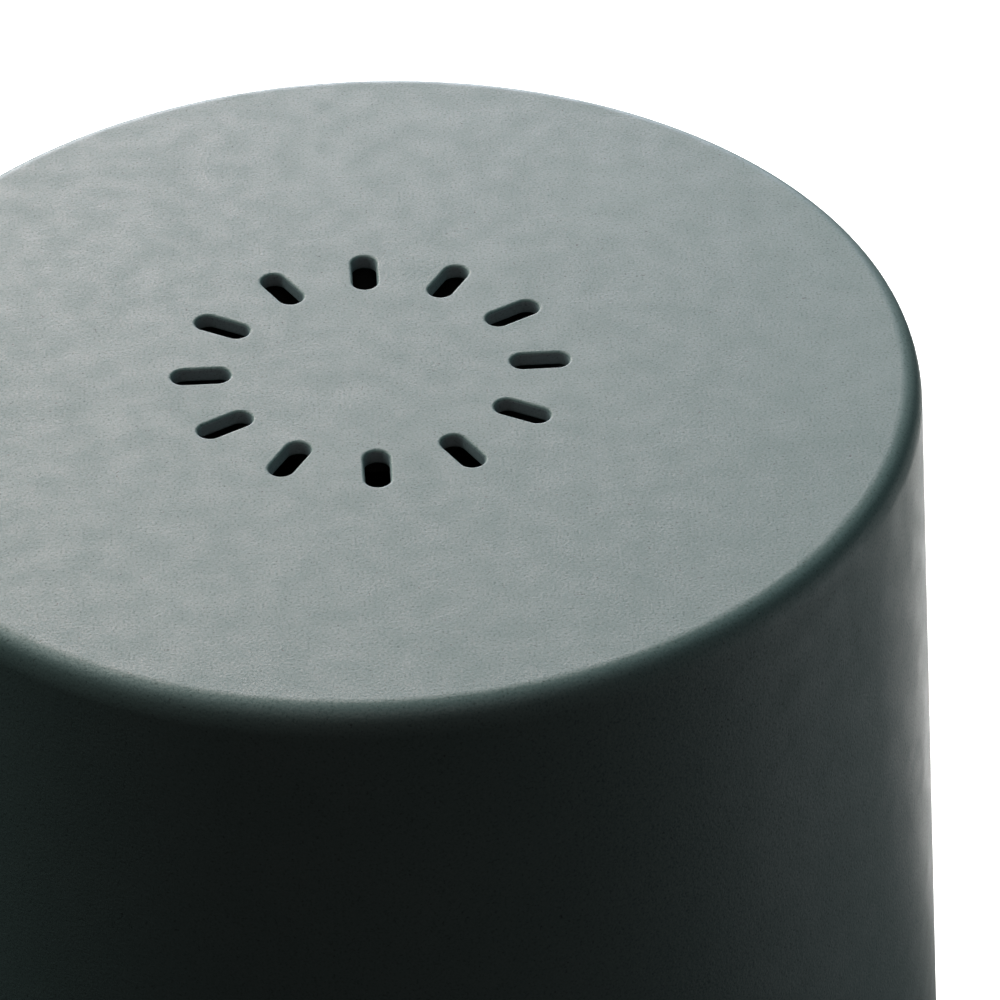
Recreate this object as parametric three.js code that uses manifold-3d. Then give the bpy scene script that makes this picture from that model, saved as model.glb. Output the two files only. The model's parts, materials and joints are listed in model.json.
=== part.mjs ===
// Ultrasonic essential oil diffuser: a tapered metal cover with a ring of mist slots stands over a
// plastic base that holds the water tank, the ultrasonic transducer, a small fan and the electronics.
//
// Millimetres, +Z up. The origin is on the axis of the cone, on the surface that the feet stand on.
// The push buttons face -Y and the power socket faces +Y.

import * as THREE from "three";
import { mergeVertices } from "three/addons/utils/BufferGeometryUtils.js";
import Module from "manifold-3d";

const wasm = await Module();
wasm.setup();

// ---------------------------------------------------------------- driving dimensions

const HEIGHT = 178; // overall
const TOP_RADIUS = 46; // where the side's line meets the top plane
const TAPER = Math.tan(THREE.MathUtils.degToRad(2.67)); // the side's slope, per millimetre of height
const COVER_WALL = 1.4; // sheet metal
const TOP_ROUND = 2; // outer edge round of the cover's top
const GAP = 0.3; // between pieces that touch

const SLOT_COUNT = 12;
const SLOT_RING_RADIUS = 14.2; // to the middle of each slot
const SLOT_LENGTH = 5.2;
const SLOT_WIDTH = 2.4;

const SEAM_Z = 20; // the base's ledge, which the cover's rim stands over
const SEAM_GAP = 0.4;
const HOUSING_WALL = 2.2;
const LOCATING_RADIUS = 49.9; // the base's upstand inside the cover's rim
const DRUM_TOP_Z = 62; // top of the housing's drum, where the tank starts
const DRUM_RADIUS = 47.2;

const TANK_TOP_Z = 118;
const TANK_WALL = 2;
const TANK_CLEARANCE = 2.6; // between the tank and the inside of the cover
const WELL_RADIUS = 12.3; // seat of the transducer's seal

const FAN_X = -26; // the fan, its duct and the tank's air pipe share one upright axis
const FAN_SIZE = 35;
const FAN_Z = 6.5;
const FAN_DEPTH = 10;
const AIR_PIPE_RADIUS = 5.6; // inside
const AIR_PIPE_WALL = 1.6;

const PLATE_Z = 2.6; // underside of the bottom cover
const PLATE_THICKNESS = 2.2;
const PLATE_TOP_Z = PLATE_Z + PLATE_THICKNESS;
const FOOT_RADIUS = 5.2;
const BOARD_Z = 7;
const BOARD_THICKNESS = 1.6;
const BOARD_TOP_Z = BOARD_Z + BOARD_THICKNESS;

const BUTTON_X = 9;
const BUTTON_RADIUS = 4;
const LENS_RADIUS = 1.55;
const CONTROL_Z = 12; // height of the buttons and the indicator
const SOCKET_Z = 13;
const SOCKET_COLLAR_RADIUS = 4;

const ROUND = 40; // sides of the large round pieces
const LID_ROUND = 32;
const MEDIUM_ROUND = 24;
const SMALL_ROUND = 16;
const PIN_ROUND = 12;
const SCREW_ROUND = 8;
const HOLE_ROUND = 8;

// ---------------------------------------------------------------- materials

const finish = (color, roughness, metalness = 0) =>
  new THREE.MeshStandardMaterial({ color, roughness, metalness });

const MATERIALS = {
  coatedMetal: finish(0x46585a, 0.62, 0.1),
  darkPlastic: finish(0x2f3b3a, 0.6),
  blackPlastic: finish(0x141617, 0.55),
  tankPlastic: finish(0xe9ebe8, 0.35),
  whitePlastic: finish(0xdcdeda, 0.45),
  rubber: finish(0x1a1b1b, 0.9),
  silicone: finish(0xc9ccc8, 0.7),
  steel: finish(0xa9adb0, 0.3, 1),
  brass: finish(0xb08d4a, 0.35, 1),
  aluminium: finish(0xb6b9bc, 0.4, 1),
  board: finish(0x1d5a3a, 0.5),
  copper: finish(0xa8643a, 0.35, 1),
  ceramic: finish(0xd8cfae, 0.4),
  capacitorSleeve: finish(0x1e2540, 0.4),
  lens: finish(0xe8f2ee, 0.15),
  leadSleeve: finish(0x8c1f1c, 0.5),
  connector: finish(0xe6dfc8, 0.5),
};

// ---------------------------------------------------------------- shapes

const outerRadius = (z) => TOP_RADIUS + (HEIGHT - z) * TAPER;
const coverInside = (z) => outerRadius(z) - COVER_WALL;
const tankOutside = (z) => coverInside(z) - TANK_CLEARANCE;

const at = (geometry, x = 0, y = 0, z = 0) => geometry.translate(x, y, z);
const PAST = 1; // how far a cutting tool runs past the face that it opens

// A closed three.js geometry as a solid that can be joined and cut.
function solid(geometry) {
  const bare = geometry.index ? geometry.toNonIndexed() : geometry.clone();
  const positions = new THREE.BufferGeometry().setAttribute("position", bare.getAttribute("position"));
  const merged = mergeVertices(positions, 1e-3);
  return new wasm.Manifold(
    new wasm.Mesh({
      numProp: 3,
      vertProperties: merged.attributes.position.array,
      triVerts: new Uint32Array(merged.index.array),
    }),
  );
}

// A solid as the geometry of a mesh.
function geometryOf(shape) {
  const { numProp, numVert, vertProperties, triVerts } = shape.getMesh();
  const positions = new Float32Array(numVert * 3);
  for (let i = 0; i < numVert; i++) {
    positions.set(vertProperties.subarray(i * numProp, i * numProp + 3), i * 3);
  }
  const geometry = new THREE.BufferGeometry();
  geometry.setAttribute("position", new THREE.BufferAttribute(positions, 3));
  geometry.setIndex(new THREE.BufferAttribute(triVerts, 1));
  geometry.computeVertexNormals();
  return geometry;
}

const joined = (shapes) => shapes.reduce((whole, shape) => whole.add(shape));
const cut = (shape, ...tools) => tools.reduce((left, tool) => left.subtract(tool), shape);

// Revolves a closed outline of [radius, height] points about an upright axis at x, y, whichever way
// round the outline is listed.
function revolve(outline, sides = ROUND, x = 0, y = 0) {
  const points = outline.map(([r, z]) => new THREE.Vector2(r, z));
  if (THREE.ShapeUtils.area(points) < 0) points.reverse();
  points.push(points[0].clone());
  return solid(at(new THREE.LatheGeometry(points, sides).rotateX(Math.PI / 2), x, y));
}

// An arc of an outline, from one angle to another in degrees, with its end points.
function arc(centreR, centreZ, radius, from, to, steps) {
  return Array.from({ length: steps + 1 }, (_, i) => {
    const angle = THREE.MathUtils.degToRad(from + ((to - from) * i) / steps);
    return [centreR + radius * Math.cos(angle), centreZ + radius * Math.sin(angle)];
  });
}

const ring = (inner, outer, z0, z1, sides = ROUND) =>
  revolve([[inner, z0], [outer, z0], [outer, z1], [inner, z1]], sides);

const onFanAxis = (outline, sides = MEDIUM_ROUND) => revolve(outline, sides, FAN_X);

const fanRing = (inner, outer, z0, z1, sides = MEDIUM_ROUND) =>
  onFanAxis([[inner, z0], [outer, z0], [outer, z1], [inner, z1]], sides);

function upright(radius, z0, z1, x = 0, y = 0, sides = SMALL_ROUND) {
  const geometry = new THREE.CylinderGeometry(radius, radius, z1 - z0, sides).rotateX(Math.PI / 2);
  return solid(at(geometry, x, y, (z0 + z1) / 2));
}

// A cylinder along Y, from y0 to y1.
function along(radius, y0, y1, x, z, sides = SMALL_ROUND) {
  const geometry = new THREE.CylinderGeometry(radius, radius, y1 - y0, sides);
  return solid(at(geometry, x, (y0 + y1) / 2, z));
}

// A box from its lowest corner to its highest.
function block([x0, y0, z0], [x1, y1, z1]) {
  const geometry = new THREE.BoxGeometry(x1 - x0, y1 - y0, z1 - z0);
  return solid(at(geometry, (x0 + x1) / 2, (y0 + y1) / 2, (z0 + z1) / 2));
}

// A square plate with rounded corners, centred on x, y.
function roundedPlate(width, depth, corner, z0, z1, x = 0, y = 0) {
  const [w, d] = [width / 2, depth / 2];
  const outline = new THREE.Shape();
  outline.absarc(w - corner, d - corner, corner, 0, Math.PI / 2);
  outline.absarc(corner - w, d - corner, corner, Math.PI / 2, Math.PI);
  outline.absarc(corner - w, corner - d, corner, Math.PI, 1.5 * Math.PI);
  outline.absarc(w - corner, corner - d, corner, 1.5 * Math.PI, 2 * Math.PI);
  const options = { depth: z1 - z0, bevelEnabled: false, curveSegments: 4 };
  return solid(at(new THREE.ExtrudeGeometry(outline, options), x, y, z0));
}

// A bar with round ends, centred at a radius and turned to an angle in degrees.
function capsule(length, width, radius, degrees, z0, z1) {
  const reach = (length - width) / 2;
  const outline = new THREE.Shape();
  outline.absarc(radius + reach, 0, width / 2, -Math.PI / 2, Math.PI / 2);
  outline.absarc(radius - reach, 0, width / 2, Math.PI / 2, 1.5 * Math.PI);
  const options = { depth: z1 - z0, bevelEnabled: false, curveSegments: 4 };
  const geometry = new THREE.ExtrudeGeometry(outline, options);
  return solid(at(geometry.rotateZ(THREE.MathUtils.degToRad(degrees)), 0, 0, z0));
}

// A pan-head screw with a cross recess. It points up (+1) or down (-1) from the seat of its head.
function screw(seatZ, reach, direction, x, y, headRadius = 2.7, shankRadius = 1.4) {
  const [headHeight, rimHeight, tip, recessDepth, recessHalfWidth] = [1.5, 0.5, 1, 0.5, 0.35];
  const z = (depth) => seatZ + direction * depth;
  const body = revolve([
    [0, z(-headHeight)], [headRadius * 0.7, z(-headHeight)], [headRadius, z(-rimHeight)], [headRadius, z(0)],
    [shankRadius, z(0)], [shankRadius, z(reach - tip)], [0, z(reach)],
  ], SCREW_ROUND, x, y);
  const [low, high] = [z(-headHeight) - recessDepth, z(-headHeight) + recessDepth];
  const arm = headRadius * 0.45;
  const slot = recessHalfWidth;
  return cut(
    body,
    block([x - arm, y - slot, low], [x + arm, y + slot, high]),
    block([x - slot, y - arm, low], [x + slot, y + arm, high]),
  );
}

// A wire or a flat pair of wires along a smooth curve through its points.
function lead(points, radius, steps) {
  const curve = new THREE.CatmullRomCurve3(points.map((p) => new THREE.Vector3(...p)));
  const section = new THREE.Shape().absarc(0, 0, radius, 0, 2 * Math.PI);
  const options = { steps, extrudePath: curve, curveSegments: 4 };
  return solid(new THREE.ExtrudeGeometry(section, options));
}

const polar = (radius, degrees) => {
  const angle = THREE.MathUtils.degToRad(degrees);
  return [radius * Math.cos(angle), radius * Math.sin(angle)];
};

// ---------------------------------------------------------------- the assembly

const diffuser = new THREE.Group();

function addPiece(group, name, shape, material) {
  const mesh = new THREE.Mesh(geometryOf(shape), material);
  mesh.name = name;
  group.add(mesh);
}

// ---------------------------------------------------------------- cover

const TOP_INSIDE_Z = HEIGHT - COVER_WALL;
const RIM_Z = SEAM_Z + SEAM_GAP;

function coverShell() {
  const corner = outerRadius(HEIGHT - TOP_ROUND) - TOP_ROUND;
  const innerRound = TOP_ROUND - COVER_WALL;
  const body = revolve([
    [0, HEIGHT],
    ...arc(corner, HEIGHT - TOP_ROUND, TOP_ROUND, 90, 0, 5),
    [outerRadius(RIM_Z), RIM_Z],
    [coverInside(RIM_Z), RIM_Z],
    ...arc(corner, HEIGHT - TOP_ROUND, innerRound, 0, 90, 2),
    [0, TOP_INSIDE_Z],
  ]);
  const slots = Array.from({ length: SLOT_COUNT }, (_, i) =>
    capsule(SLOT_LENGTH, SLOT_WIDTH, SLOT_RING_RADIUS, (360 / SLOT_COUNT) * i, TOP_INSIDE_Z - 1, HEIGHT + 1),
  );
  return cut(body, ...slots);
}

const DEFLECTOR_TIP_Z = 168.5;
const DEFLECTOR_RADIUS = 10.6;
const GUIDE_MOUTH_Z = 160;
const GUIDE_MOUTH_RADIUS = 15;
const GUIDE_THROAT_RADIUS = 18;
const GUIDE_FLANGE_RADIUS = 22;
const GUIDE_WALL = 1.3;
const GUIDE_RIBS = 4;

// A funnel glued under the cover's top, with a cone in its middle that spreads the mist to the slots.
// Ribs between two slots carry the cone.
function mistGuide() {
  const top = TOP_INSIDE_Z - GAP;
  const flangeZ = top - GUIDE_WALL;
  const funnel = revolve([
    [GUIDE_MOUTH_RADIUS, GUIDE_MOUTH_Z], [GUIDE_MOUTH_RADIUS + GUIDE_WALL, GUIDE_MOUTH_Z],
    [GUIDE_THROAT_RADIUS + GUIDE_WALL, flangeZ], [GUIDE_FLANGE_RADIUS, flangeZ],
    [GUIDE_FLANGE_RADIUS, top], [GUIDE_THROAT_RADIUS, top],
  ], MEDIUM_ROUND);
  const cone = revolve([
    [0, DEFLECTOR_TIP_Z], [DEFLECTOR_RADIUS, flangeZ], [DEFLECTOR_RADIUS, top], [0, top],
  ], MEDIUM_ROUND);
  const [ribStart, ribEnd] = [DEFLECTOR_RADIUS - 1.85, GUIDE_THROAT_RADIUS + 0.75];
  const [ribWidth, ribHeight] = [1.2, 1.2];
  const ribs = Array.from({ length: GUIDE_RIBS }, (_, i) => {
    const geometry = new THREE.BoxGeometry(ribEnd - ribStart, ribWidth, ribHeight);
    at(geometry, (ribStart + ribEnd) / 2, 0, top - ribHeight / 2);
    return solid(geometry.rotateZ(Math.PI / SLOT_COUNT + (i * 2 * Math.PI) / GUIDE_RIBS));
  });
  return joined([funnel, cone, ...ribs]);
}

const KEY_WIDTH = 6; // of the rib on the base that turns the cover the right way round
const KEY_HEIGHT = 0.5;
const SLIDE_CLEARANCE = 0.5;

// A plastic ring inside the cover's rim, which slides over the base's upstand and its key.
function coverRimRing() {
  const [low, high] = [RIM_Z + 0.4, RIM_Z + 9.6];
  const inner = LOCATING_RADIUS + SLIDE_CLEARANCE;
  const body = revolve([
    [inner, low], [coverInside(low) - GAP, low], [coverInside(high) - GAP, high], [inner, high],
  ]);
  const halfKeyway = (KEY_WIDTH + 2 * SLIDE_CLEARANCE) / 2;
  const keywayFloor = LOCATING_RADIUS + KEY_HEIGHT + 0.4;
  const keyway = block([-halfKeyway, inner - 2, low - PAST], [halfKeyway, keywayFloor, high + PAST]);
  return cut(body, keyway);
}

const cover = new THREE.Group();
addPiece(cover, "cover_shell", coverShell(), MATERIALS.coatedMetal);
addPiece(cover, "mist_guide", mistGuide(), MATERIALS.blackPlastic);
addPiece(cover, "cover_rim_ring", coverRimRing(), MATERIALS.blackPlastic);
diffuser.add(cover);

// ---------------------------------------------------------------- mist hood

const HOOD_Z = TANK_TOP_Z + GAP;
const HOOD_WALL = 1.8;
const HOOD_SHOULDER_RADIUS = 34;
const HOOD_SHOULDER_Z = HOOD_Z + 9;
const HOOD_ROUND = 8;
const CHIMNEY_TOP_Z = 146;
const CHIMNEY_FOOT_Z = 134;
const CHIMNEY_RADIUS = 9.4; // inside, at its top
const SKIRT_RADIUS = 41;
const SKIRT_WALL = 1.6;
const SKIRT_DEPTH = 6.5;
const SEAL_Z = HOOD_Z - 4.6;
const SEAL_HEIGHT = 2.4;
const SEAL_GROOVE = 1;

// The inner lid: a dome with a chimney, and a skirt that plugs into the tank.
function mistHood() {
  const rim = tankOutside(TANK_TOP_Z) - 0.2;
  const groove = SKIRT_RADIUS - SEAL_GROOVE;
  const skirtInside = groove - SKIRT_WALL;
  const [grooveLow, grooveHigh] = [SEAL_Z - GAP, SEAL_Z + SEAL_HEIGHT + GAP];
  const skirtFoot = HOOD_Z - SKIRT_DEPTH;
  const neckZ = CHIMNEY_FOOT_Z - 0.6; // where the dome meets the chimney
  return revolve([
    [CHIMNEY_RADIUS, CHIMNEY_TOP_Z], [CHIMNEY_RADIUS + 0.6, CHIMNEY_TOP_Z + 0.4],
    [CHIMNEY_RADIUS + 1.6, CHIMNEY_TOP_Z], [CHIMNEY_RADIUS + 2.6, CHIMNEY_FOOT_Z + 2],
    [CHIMNEY_RADIUS + 5.1, neckZ], [HOOD_SHOULDER_RADIUS, HOOD_SHOULDER_Z],
    ...arc(rim - HOOD_ROUND, HOOD_Z + 2, HOOD_ROUND, 40, 0, 3),
    [rim, HOOD_Z], [SKIRT_RADIUS, HOOD_Z],
    [SKIRT_RADIUS, grooveHigh], [groove, grooveHigh], [groove, grooveLow], [SKIRT_RADIUS, grooveLow],
    [SKIRT_RADIUS, skirtFoot], [skirtInside, skirtFoot], [skirtInside, HOOD_Z + 1],
    [HOOD_SHOULDER_RADIUS - 0.5, HOOD_SHOULDER_Z - HOOD_WALL],
    [CHIMNEY_RADIUS + 4.2, neckZ - HOOD_WALL], [CHIMNEY_RADIUS + 1.1, CHIMNEY_FOOT_Z + 1],
  ], LID_ROUND);
}

const hoodSeal = () =>
  ring(SKIRT_RADIUS - SEAL_GROOVE + GAP, SKIRT_RADIUS + 1.2, SEAL_Z, SEAL_Z + SEAL_HEIGHT, LID_ROUND);

// A disc under the chimney that stops splashes, hung on three legs from a ring in the chimney.
function splashBaffle() {
  const [ringInner, ringOuter, ringZ, ringHeight] = [7.4, 9, CHIMNEY_FOOT_Z + 2, 3.5];
  const [discRadius, discZ, discEdge, discCrown] = [12.5, HOOD_Z + 3, 1.2, 2.2];
  const legRadius = 0.75;
  const hanger = ring(ringInner, ringOuter, ringZ, ringZ + ringHeight, MEDIUM_ROUND);
  const disc = revolve([
    [0, discZ], [discRadius, discZ], [discRadius, discZ + discEdge], [0, discZ + discCrown],
  ], MEDIUM_ROUND);
  const legs = [30, 150, 270].map((degrees) => {
    const [x, y] = polar((ringInner + ringOuter) / 2, degrees);
    return upright(legRadius, discZ + 1, ringZ + 1, x, y, HOLE_ROUND);
  });
  return joined([hanger, disc, ...legs]);
}

const hood = new THREE.Group();
addPiece(hood, "mist_hood", mistHood(), MATERIALS.whitePlastic);
addPiece(hood, "splash_baffle", splashBaffle(), MATERIALS.whitePlastic);
addPiece(hood, "hood_seal", hoodSeal(), MATERIALS.silicone);
diffuser.add(hood);

// ---------------------------------------------------------------- water tank

const FLOOR_Z = 57; // inside of the tank's floor at its outer edge
const FLOOR_ROUND = 7.5;
const WELL_FLOOR_Z = 52;
const WELL_FOOT_Z = 46.6;
const AIR_PIPE_TOP_Z = 104;
const AIR_PIPE_FOOT_Z = 47.6;
const AIR_PIPE_OUTER = AIR_PIPE_RADIUS + AIR_PIPE_WALL;
const AIR_COLLAR_RADIUS = AIR_PIPE_OUTER + 1.8;
const AIR_COLLAR_TOP_Z = 59;
const AIR_FLANGE_THICKNESS = 1.2;
const LUG_ANGLES = [90, 270]; // of the ears that hold the transducer's retainer
const LUG_RING_RADIUS = WELL_RADIUS + 4.5;
const TANK_POSTS = [[25, 27], [-25, 27], [-25, -27], [25, -27]];
const POST_RADIUS = 3.2;
const POST_FOOT_Z = 44.4;
const PILOT_RADIUS = 1.7; // of the hole that a large screw cuts its thread in
const SMALL_PILOT_RADIUS = 1.3;
const WATER_LINE_Z = 92;
const WATER_LINE_HEIGHT = 0.7;
const EXPOSED_RADIUS = 8; // of the transducer, seen from inside the tank

// A deep bowl that follows the cover's taper, with a well for the transducer in its floor, a collar
// for the air pipe, posts under the floor for the screws, and a fine rib inside for the water line.
function waterTank() {
  const inside = (z) => tankOutside(z) - TANK_WALL;
  const foot = DRUM_RADIUS - HOUSING_WALL - GAP; // where the tank stands inside the drum
  const seat = DRUM_TOP_Z + 1.2;
  const bowl = revolve([
    [tankOutside(TANK_TOP_Z), TANK_TOP_Z], [tankOutside(seat), seat], [foot, seat],
    [foot, FLOOR_Z + 4], ...arc(foot - 5, FLOOR_Z + 3, 5, 0, -80, 3),
    [WELL_RADIUS + 3, WELL_FLOOR_Z - 0.6], [WELL_RADIUS + 2, WELL_FOOT_Z],
    [WELL_RADIUS, WELL_FOOT_Z], [WELL_RADIUS, WELL_FLOOR_Z - 1.5],
    [EXPOSED_RADIUS, WELL_FLOOR_Z - 1.5], [EXPOSED_RADIUS + 1, WELL_FLOOR_Z],
    [WELL_RADIUS + 1, WELL_FLOOR_Z + 1.4],
    ...arc(foot - 10, FLOOR_Z + 8, FLOOR_ROUND, -80, 0, 3),
    [inside(seat + 4), seat + 4],
    [inside(WATER_LINE_Z - 1), WATER_LINE_Z - 1],
    [inside(WATER_LINE_Z) - WATER_LINE_HEIGHT, WATER_LINE_Z - 0.3],
    [inside(WATER_LINE_Z) - WATER_LINE_HEIGHT, WATER_LINE_Z + 0.3],
    [inside(WATER_LINE_Z + 1), WATER_LINE_Z + 1],
    [inside(TANK_TOP_Z), TANK_TOP_Z],
  ], LID_ROUND);
  const posts = TANK_POSTS.map(([x, y]) => upright(POST_RADIUS, POST_FOOT_Z, FLOOR_Z - 1, x, y, HOLE_ROUND));
  const pilots = TANK_POSTS.map(([x, y]) =>
    upright(PILOT_RADIUS, POST_FOOT_Z - PAST, POST_FOOT_Z + 8, x, y, HOLE_ROUND),
  );
  const collar = upright(AIR_COLLAR_RADIUS, FLOOR_Z - 3, AIR_COLLAR_TOP_Z, FAN_X, 0, MEDIUM_ROUND);
  const pipeHole = upright(AIR_PIPE_OUTER + GAP, AIR_PIPE_FOOT_Z, AIR_PIPE_TOP_Z, FAN_X, 0, MEDIUM_ROUND);
  const lugs = LUG_ANGLES.map((degrees) =>
    capsule(5, 5, LUG_RING_RADIUS, degrees, WELL_FOOT_Z, WELL_FLOOR_Z),
  );
  const lugPilots = LUG_ANGLES.map((degrees) => {
    const [x, y] = polar(LUG_RING_RADIUS, degrees);
    return upright(SMALL_PILOT_RADIUS, WELL_FOOT_Z - PAST, WELL_FLOOR_Z - 2, x, y, HOLE_ROUND);
  });
  return cut(joined([bowl, ...posts, collar, ...lugs]), ...pilots, ...lugPilots, pipeHole);
}

// The pipe that carries the fan's air up through the tank to above the water line. Its flange stands
// on the collar in the tank's floor.
function airPipe() {
  const [low, high] = [AIR_COLLAR_TOP_Z + GAP, AIR_COLLAR_TOP_Z + GAP + AIR_FLANGE_THICKNESS];
  const chamfer = 0.6;
  return onFanAxis([
    [AIR_PIPE_RADIUS, AIR_PIPE_FOOT_Z], [AIR_PIPE_OUTER, AIR_PIPE_FOOT_Z], [AIR_PIPE_OUTER, low],
    [AIR_COLLAR_RADIUS, low], [AIR_COLLAR_RADIUS, high], [AIR_PIPE_OUTER, high],
    [AIR_PIPE_OUTER, AIR_PIPE_TOP_Z - chamfer], [AIR_PIPE_OUTER - chamfer, AIR_PIPE_TOP_Z],
    [AIR_PIPE_RADIUS, AIR_PIPE_TOP_Z],
  ]);
}

const tankGasket = () =>
  ring(DRUM_RADIUS - HOUSING_WALL + 0.5, DRUM_RADIUS - 0.5, DRUM_TOP_Z + GAP, DRUM_TOP_Z + 0.9, LID_ROUND);

// ---------------------------------------------------------------- ultrasonic transducer

const DISC_RADIUS = 10;
const DISC_Z = 48.8;
const DISC_THICKNESS = 1;
const RETAINER_THICKNESS = 2;
const RETAINER_Z = WELL_FOOT_Z - RETAINER_THICKNESS - GAP;

const transducerDisc = () => ring(0, DISC_RADIUS, DISC_Z, DISC_Z + DISC_THICKNESS, MEDIUM_ROUND);

// The seal grips the disc's edge in a groove.
function transducerSeal() {
  const [low, high] = [WELL_FOOT_Z + GAP, WELL_FLOOR_Z - 1.5 - GAP];
  const [grooveLow, grooveHigh] = [DISC_Z - GAP, DISC_Z + DISC_THICKNESS + GAP];
  const [lip, groove, outer] = [EXPOSED_RADIUS + 0.4, DISC_RADIUS + GAP, WELL_RADIUS - GAP];
  return revolve([
    [lip, low], [outer, low], [outer, high], [lip, high], [lip, grooveHigh],
    [groove, grooveHigh], [groove, grooveLow], [lip, grooveLow],
  ], MEDIUM_ROUND);
}

// A ring with two ears, screwed under the well, that presses the seal upwards.
function transducerRetainer() {
  const top = RETAINER_Z + RETAINER_THICKNESS;
  const [earLength, earWidth, holeRadius] = [6, 5, 1.4];
  const ears = LUG_ANGLES.map((degrees) =>
    capsule(earLength, earWidth, LUG_RING_RADIUS - 0.5, degrees, RETAINER_Z, top),
  );
  const holes = LUG_ANGLES.map((degrees) => {
    const [x, y] = polar(LUG_RING_RADIUS, degrees);
    return upright(holeRadius, RETAINER_Z - PAST, top + PAST, x, y, HOLE_ROUND);
  });
  const body = ring(EXPOSED_RADIUS, WELL_RADIUS + 2, RETAINER_Z, top, MEDIUM_ROUND);
  return cut(joined([body, ...ears]), ...holes);
}

// ---------------------------------------------------------------- housing and bottom cover

const BOSS_POINTS = [50, 130, 230, 310].map((degrees) => polar(46.3, degrees));
const BOSS_RADIUS = 3.6;
const BOSS_FOOT_Z = 6.5;
const LEDGE_UNDERSIDE_Z = SEAM_Z - HOUSING_WALL;
const SHOULDER_Z = 30;
const LUG_TOP_Z = POST_FOOT_Z - GAP;
const LUG_THICKNESS = 3;
const CLEAR_RADIUS = 1.8; // of a hole that a screw's shank passes through
const BUTTON_CLEARANCE = 0.35;
const FAR_Y = 60; // beyond the outside of the object

// The openings for the buttons, the indicator and the power socket's collar.
function housingOpenings() {
  const wallInside = LOCATING_RADIUS - 3;
  const forwards = (radius, x, sides) => along(radius, -FAR_Y, -wallInside, x, CONTROL_Z, sides);
  return [
    ...[-BUTTON_X, BUTTON_X].map((x) => forwards(BUTTON_RADIUS + BUTTON_CLEARANCE, x, MEDIUM_ROUND)),
    forwards(LENS_RADIUS + BUTTON_CLEARANCE, 0, PIN_ROUND),
    along(SOCKET_COLLAR_RADIUS + 0.4, wallInside, FAR_Y, 0, SOCKET_Z, MEDIUM_ROUND),
  ];
}

// A tapered ring outside, a ledge and an upstand for the cover, and a drum that carries the tank.
function baseHousing() {
  const [low, edge, softEdge] = [2.2, 1.4, 0.6];
  const upstandInside = LOCATING_RADIUS - HOUSING_WALL;
  const shell = revolve([
    [outerRadius(low) - edge, low], [outerRadius(low + edge), low + edge],
    [outerRadius(SEAM_Z - softEdge), SEAM_Z - softEdge], [outerRadius(SEAM_Z) - softEdge, SEAM_Z],
    [LOCATING_RADIUS, SEAM_Z], [LOCATING_RADIUS, SHOULDER_Z - 1], [LOCATING_RADIUS - 1, SHOULDER_Z],
    [DRUM_RADIUS + 1, SHOULDER_Z + softEdge], [DRUM_RADIUS, DRUM_TOP_Z],
    [DRUM_RADIUS - HOUSING_WALL, DRUM_TOP_Z], [DRUM_RADIUS + 1 - HOUSING_WALL, SHOULDER_Z],
    [upstandInside, SHOULDER_Z - 2], [upstandInside, LEDGE_UNDERSIDE_Z],
    [outerRadius(LEDGE_UNDERSIDE_Z) - HOUSING_WALL, LEDGE_UNDERSIDE_Z],
    [outerRadius(low) - HOUSING_WALL, low],
  ]);
  const bosses = BOSS_POINTS.map(([x, y]) => upright(BOSS_RADIUS, BOSS_FOOT_Z, SEAM_Z - 1, x, y, HOLE_ROUND));
  const pilots = BOSS_POINTS.map(([x, y]) =>
    upright(PILOT_RADIUS, BOSS_FOOT_Z - PAST, SEAM_Z - 4, x, y, HOLE_ROUND),
  );
  // Lugs on the drum's inside carry the screws that hold the tank down.
  const [lugLength, lugWidth, lugReach] = [18, 8.4, 4.8];
  const lugLow = LUG_TOP_Z - LUG_THICKNESS;
  const beyondDrum = ring(DRUM_RADIUS - softEdge, DRUM_RADIUS + lugLength, lugLow - PAST, LUG_TOP_Z + PAST);
  const lugs = TANK_POSTS.map(([x, y]) => {
    const degrees = THREE.MathUtils.radToDeg(Math.atan2(y, x));
    const lug = capsule(lugLength, lugWidth, Math.hypot(x, y) + lugReach, degrees, lugLow, LUG_TOP_Z);
    return lug.subtract(beyondDrum);
  });
  const lugHoles = TANK_POSTS.map(([x, y]) =>
    upright(CLEAR_RADIUS, lugLow - PAST, LUG_TOP_Z + PAST, x, y, HOLE_ROUND),
  );
  const key = block(
    [-KEY_WIDTH / 2, LOCATING_RADIUS - 1, SEAM_Z - 0.5],
    [KEY_WIDTH / 2, LOCATING_RADIUS + KEY_HEIGHT, SHOULDER_Z - 1.5],
  );
  return cut(joined([shell, ...bosses, ...lugs, key]), ...pilots, ...lugHoles, ...housingOpenings());
}

const FEET = [30, 150, 210, 330].map((degrees) => polar(43, degrees));
const FOOT_RECESS_Z = PLATE_Z + 1;
const PLATE_RADIUS = 51.2;
const FAN_HOLE_OFFSET = 14.4;
const FAN_HOLES = [[-1, 1], [1, -1]].map(([i, j]) => [FAN_X + i * FAN_HOLE_OFFSET, j * FAN_HOLE_OFFSET]);
const BOARD_HOLES = [[34, 13], [34, -13]];
const GRILLE_RADIUS = 14;
const GRILLE_PITCH = 3.8;
const GRILLE_SLOT = 2;
const GRILLE_HALF_COUNT = 3; // slots on each side of the middle one

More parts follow.
